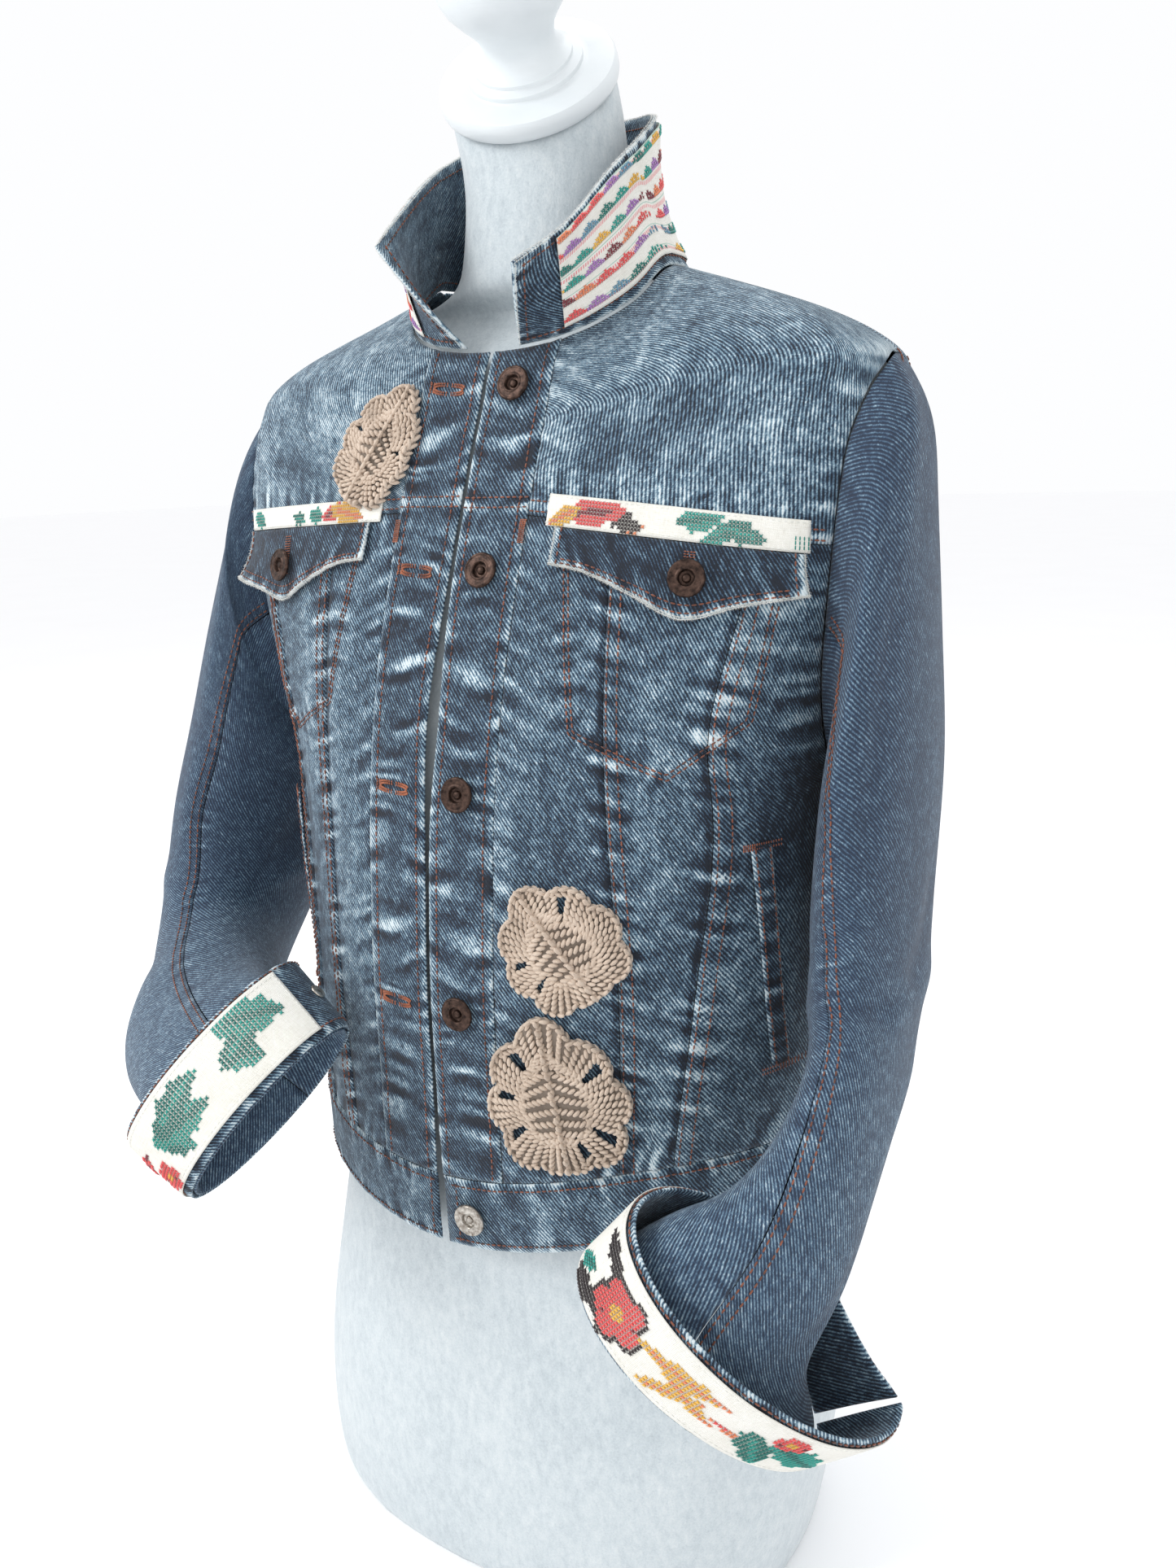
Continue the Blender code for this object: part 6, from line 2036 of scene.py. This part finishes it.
def on_collar(u, v):
    edge = 1 - 2 / COLLAR_COLUMNS
    rise = COLLAR_PATCH_FOOT + COLLAR_PATCH_SPAN * v
    point, normal, _ = collar_patch(edge * (1 - 2 * np.minimum(u, 1)), rise, 0.05)
    return point, normal


embroider("collar_triangles", "collar_patch", triangle_rows, on_collar, TRIANGLE_PITCH)


# Raw edges and small hand stitches. White weft fibres stand out where flaps and
# collar are worn through; the cotton is sewn down with white and teal thread.

def fray_pattern():
    """Short loose fibres in all directions along an edge."""
    tree = Pattern("loose fibres", Pitch=0.00035, Length=0.0026, Thick=0.00016)
    points = tree.add("GeometryNodeCurveToPoints", 0, {"mode": "LENGTH"},
                      Curve=tree.add("GeometryNodeMeshToCurve", Mesh=tree.input("Laid on")),
                      Length=tree.input("Pitch"))
    fibre = tree.add("GeometryNodeMeshUVSphere", Segments=4, Rings=2, Radius=0.5)
    turn = tree.add("FunctionNodeRandomValue", 0, {"data_type": "FLOAT_VECTOR"}, Min=(0, 0, 0),
                    Max=(6.28, 6.28, 6.28), Seed=7)
    size = tree.add("ShaderNodeCombineXYZ", X=tree.input("Thick"), Y=tree.input("Thick"),
                    Z=tree.input("Length"))
    tree.close(points, fibre, turn, size)
    return tree


loose_fibres = fray_pattern()
white_thread = thread("white thread", linear(214, 214, 208), linear(240, 240, 236))
teal_thread = thread("teal thread", linear(20, 110, 100), linear(44, 152, 138))
for hand in (1, -1):
    tag = SIDES[hand]
    spread = np.linspace(0, 1, 60)
    edges = [flap_cloth(hand, spread, v, out)[0] for v, out in ((0.0, 0), (0.03, 0.2), (0.0, -0.8))]
    edges += [flap_cloth(hand, u, np.linspace(0, 1, 14), 0)[0] for u in (0.0, 1.0)]
    loose_fibres.lay(f"flap_fray_{tag}", lines_mesh("fray", edges), white_thread,
                     f"pocket_flap_{tag}", Pitch=0.00028, Length=0.0026, Thick=0.00019)
edges = [collar_cloth(np.linspace(-0.99, 0.99, 200), 1.0, out)[0] for out in (0, -1.2, -2.4)]
edges += [collar_cloth(u, np.linspace(0.02, 1, 60), out)[0] for u in (-0.995, 0.995) for out in (0, -1.6)]
loose_fibres.lay("collar_fray", lines_mesh("fray", edges), white_thread, "collar",
                 Pitch=0.00034, Length=0.0021, Thick=0.00017)


def cotton_seams():
    lines = []
    teal = []
    for side in (1, -1):
        run = np.linspace(0.004, 0.996, 160)
        surface = on_cuff(side)
        for v in (0.055, 0.945):
            lines.append(surface(run, v + 0 * run)[0])
        rise = np.linspace(0.05, 0.95, 20)
        for u in (0.006, 0.994):
            lines.append(surface(u + 0 * rise, rise)[0])
        surface = on_band(side)
        for v in (0.09, 0.91):
            lines.append(surface(run, v + 0 * run)[0])
        for u in ((0.955, 0.968, 0.981, 0.994) if side > 0 else ()):
            teal.append(surface(u + 0 * rise[2:9], rise[2:9])[0])
    straight_stitch.lay("cotton_edge_stitches", lines_mesh("edges", lines), white_thread,
                        "cuff_patch_left", Pitch=0.0027, Length=0.0018, Thick=0.00042)
    straight_stitch.lay("whip_stitches", lines_mesh("whip", teal), teal_thread,
                        "embroidered_band_left", Pitch=0.0016, Length=0.0022, Thick=0.0007)


cotton_seams()


# Flat cuts of the leaves, in metres: width and length of the piece laid flat,
# its area and what it lies on.

LEAF_CUTS = (("leaf_chest", 0.064, 0.048, 0.0023, ["front_yoke_right"]),
             ("leaf_upper", 0.064, 0.060, 0.0028, ["front_centre_panel_left", "front_middle_panel_left"]),
             ("leaf_lower", 0.082, 0.070, 0.0040, ["front_centre_panel_left", "front_middle_panel_left"]))
for name, width, length, area, under in LEAF_CUTS:
    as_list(under)


# Setting for the picture: a wide, flat, pale floor, soft studio light from
# the left and above, and the camera where the photograph was taken.

FLOOR_SIZE = 40
SKY_COLOUR = (0.985, 0.99, 1.0, 1)
SKY_STRENGTH = 1.0


def stage():
    bpy.ops.mesh.primitive_plane_add(size=FLOOR_SIZE)
    floor = bpy.context.object
    floor.name = "studio_floor"
    look = Finish("pale floor", Roughness=0.9)
    grain = look.noise(look.seat(), 3, 2)
    floor.data.materials.append(look.wear(look.mix(grain, linear(251, 251, 252), linear(254, 254, 255))))


stage()


def soft_light(name, place, size, energy, aim=(0, 0, 0.45)):
    lamp = bpy.data.lights.new(name, "AREA")
    lamp.energy = energy
    lamp.size = size
    thing = bpy.data.objects.new(name, lamp)
    thing.location = place
    thing.rotation_euler = (Vector(place) - Vector(aim)).to_track_quat("Z", "Y").to_euler()
    bpy.context.scene.collection.objects.link(thing)


soft_light("window", (-1.3, -1.4, 1.8), 0.9, 26)
soft_light("fill", (1.6, -1.6, 1.0), 1.8, 5)
soft_light("top", (0.1, 0.6, 2.4), 1.4, 10)
world = bpy.data.worlds.new("studio")
world.use_nodes = True
world.node_tree.nodes["Background"].inputs[0].default_value = SKY_COLOUR
world.node_tree.nodes["Background"].inputs[1].default_value = SKY_STRENGTH
bpy.context.scene.world = world
bpy.context.scene.view_settings.view_transform = "Standard"

CAMERA_AZIMUTH, CAMERA_ELEVATION, CAMERA_ROLL = (math.radians(v) for v in (30.4, 13.8, -1.7))
CAMERA_ANGLE = math.radians(62.3)
CAMERA_PLACE = (0.3653, -0.5799, 0.5958)
lens = bpy.data.cameras.new("photograph")
lens.sensor_fit = "VERTICAL"
lens.angle_y = CAMERA_ANGLE
camera = bpy.data.objects.new("photograph", lens)
behind = Vector((math.sin(CAMERA_AZIMUTH) * math.cos(CAMERA_ELEVATION),
                 -math.cos(CAMERA_AZIMUTH) * math.cos(CAMERA_ELEVATION), math.sin(CAMERA_ELEVATION)))
level_right = Vector((math.cos(CAMERA_AZIMUTH), math.sin(CAMERA_AZIMUTH), 0))
level_up = behind.cross(level_right)
camera_right = level_right * math.cos(CAMERA_ROLL) + level_up * math.sin(CAMERA_ROLL)
camera_up = level_up * math.cos(CAMERA_ROLL) - level_right * math.sin(CAMERA_ROLL)
camera.matrix_world = (Matrix.Translation(CAMERA_PLACE)
                       @ Matrix((camera_right, camera_up, behind)).transposed().to_4x4())
bpy.context.scene.collection.objects.link(camera)
bpy.context.scene.camera = camera
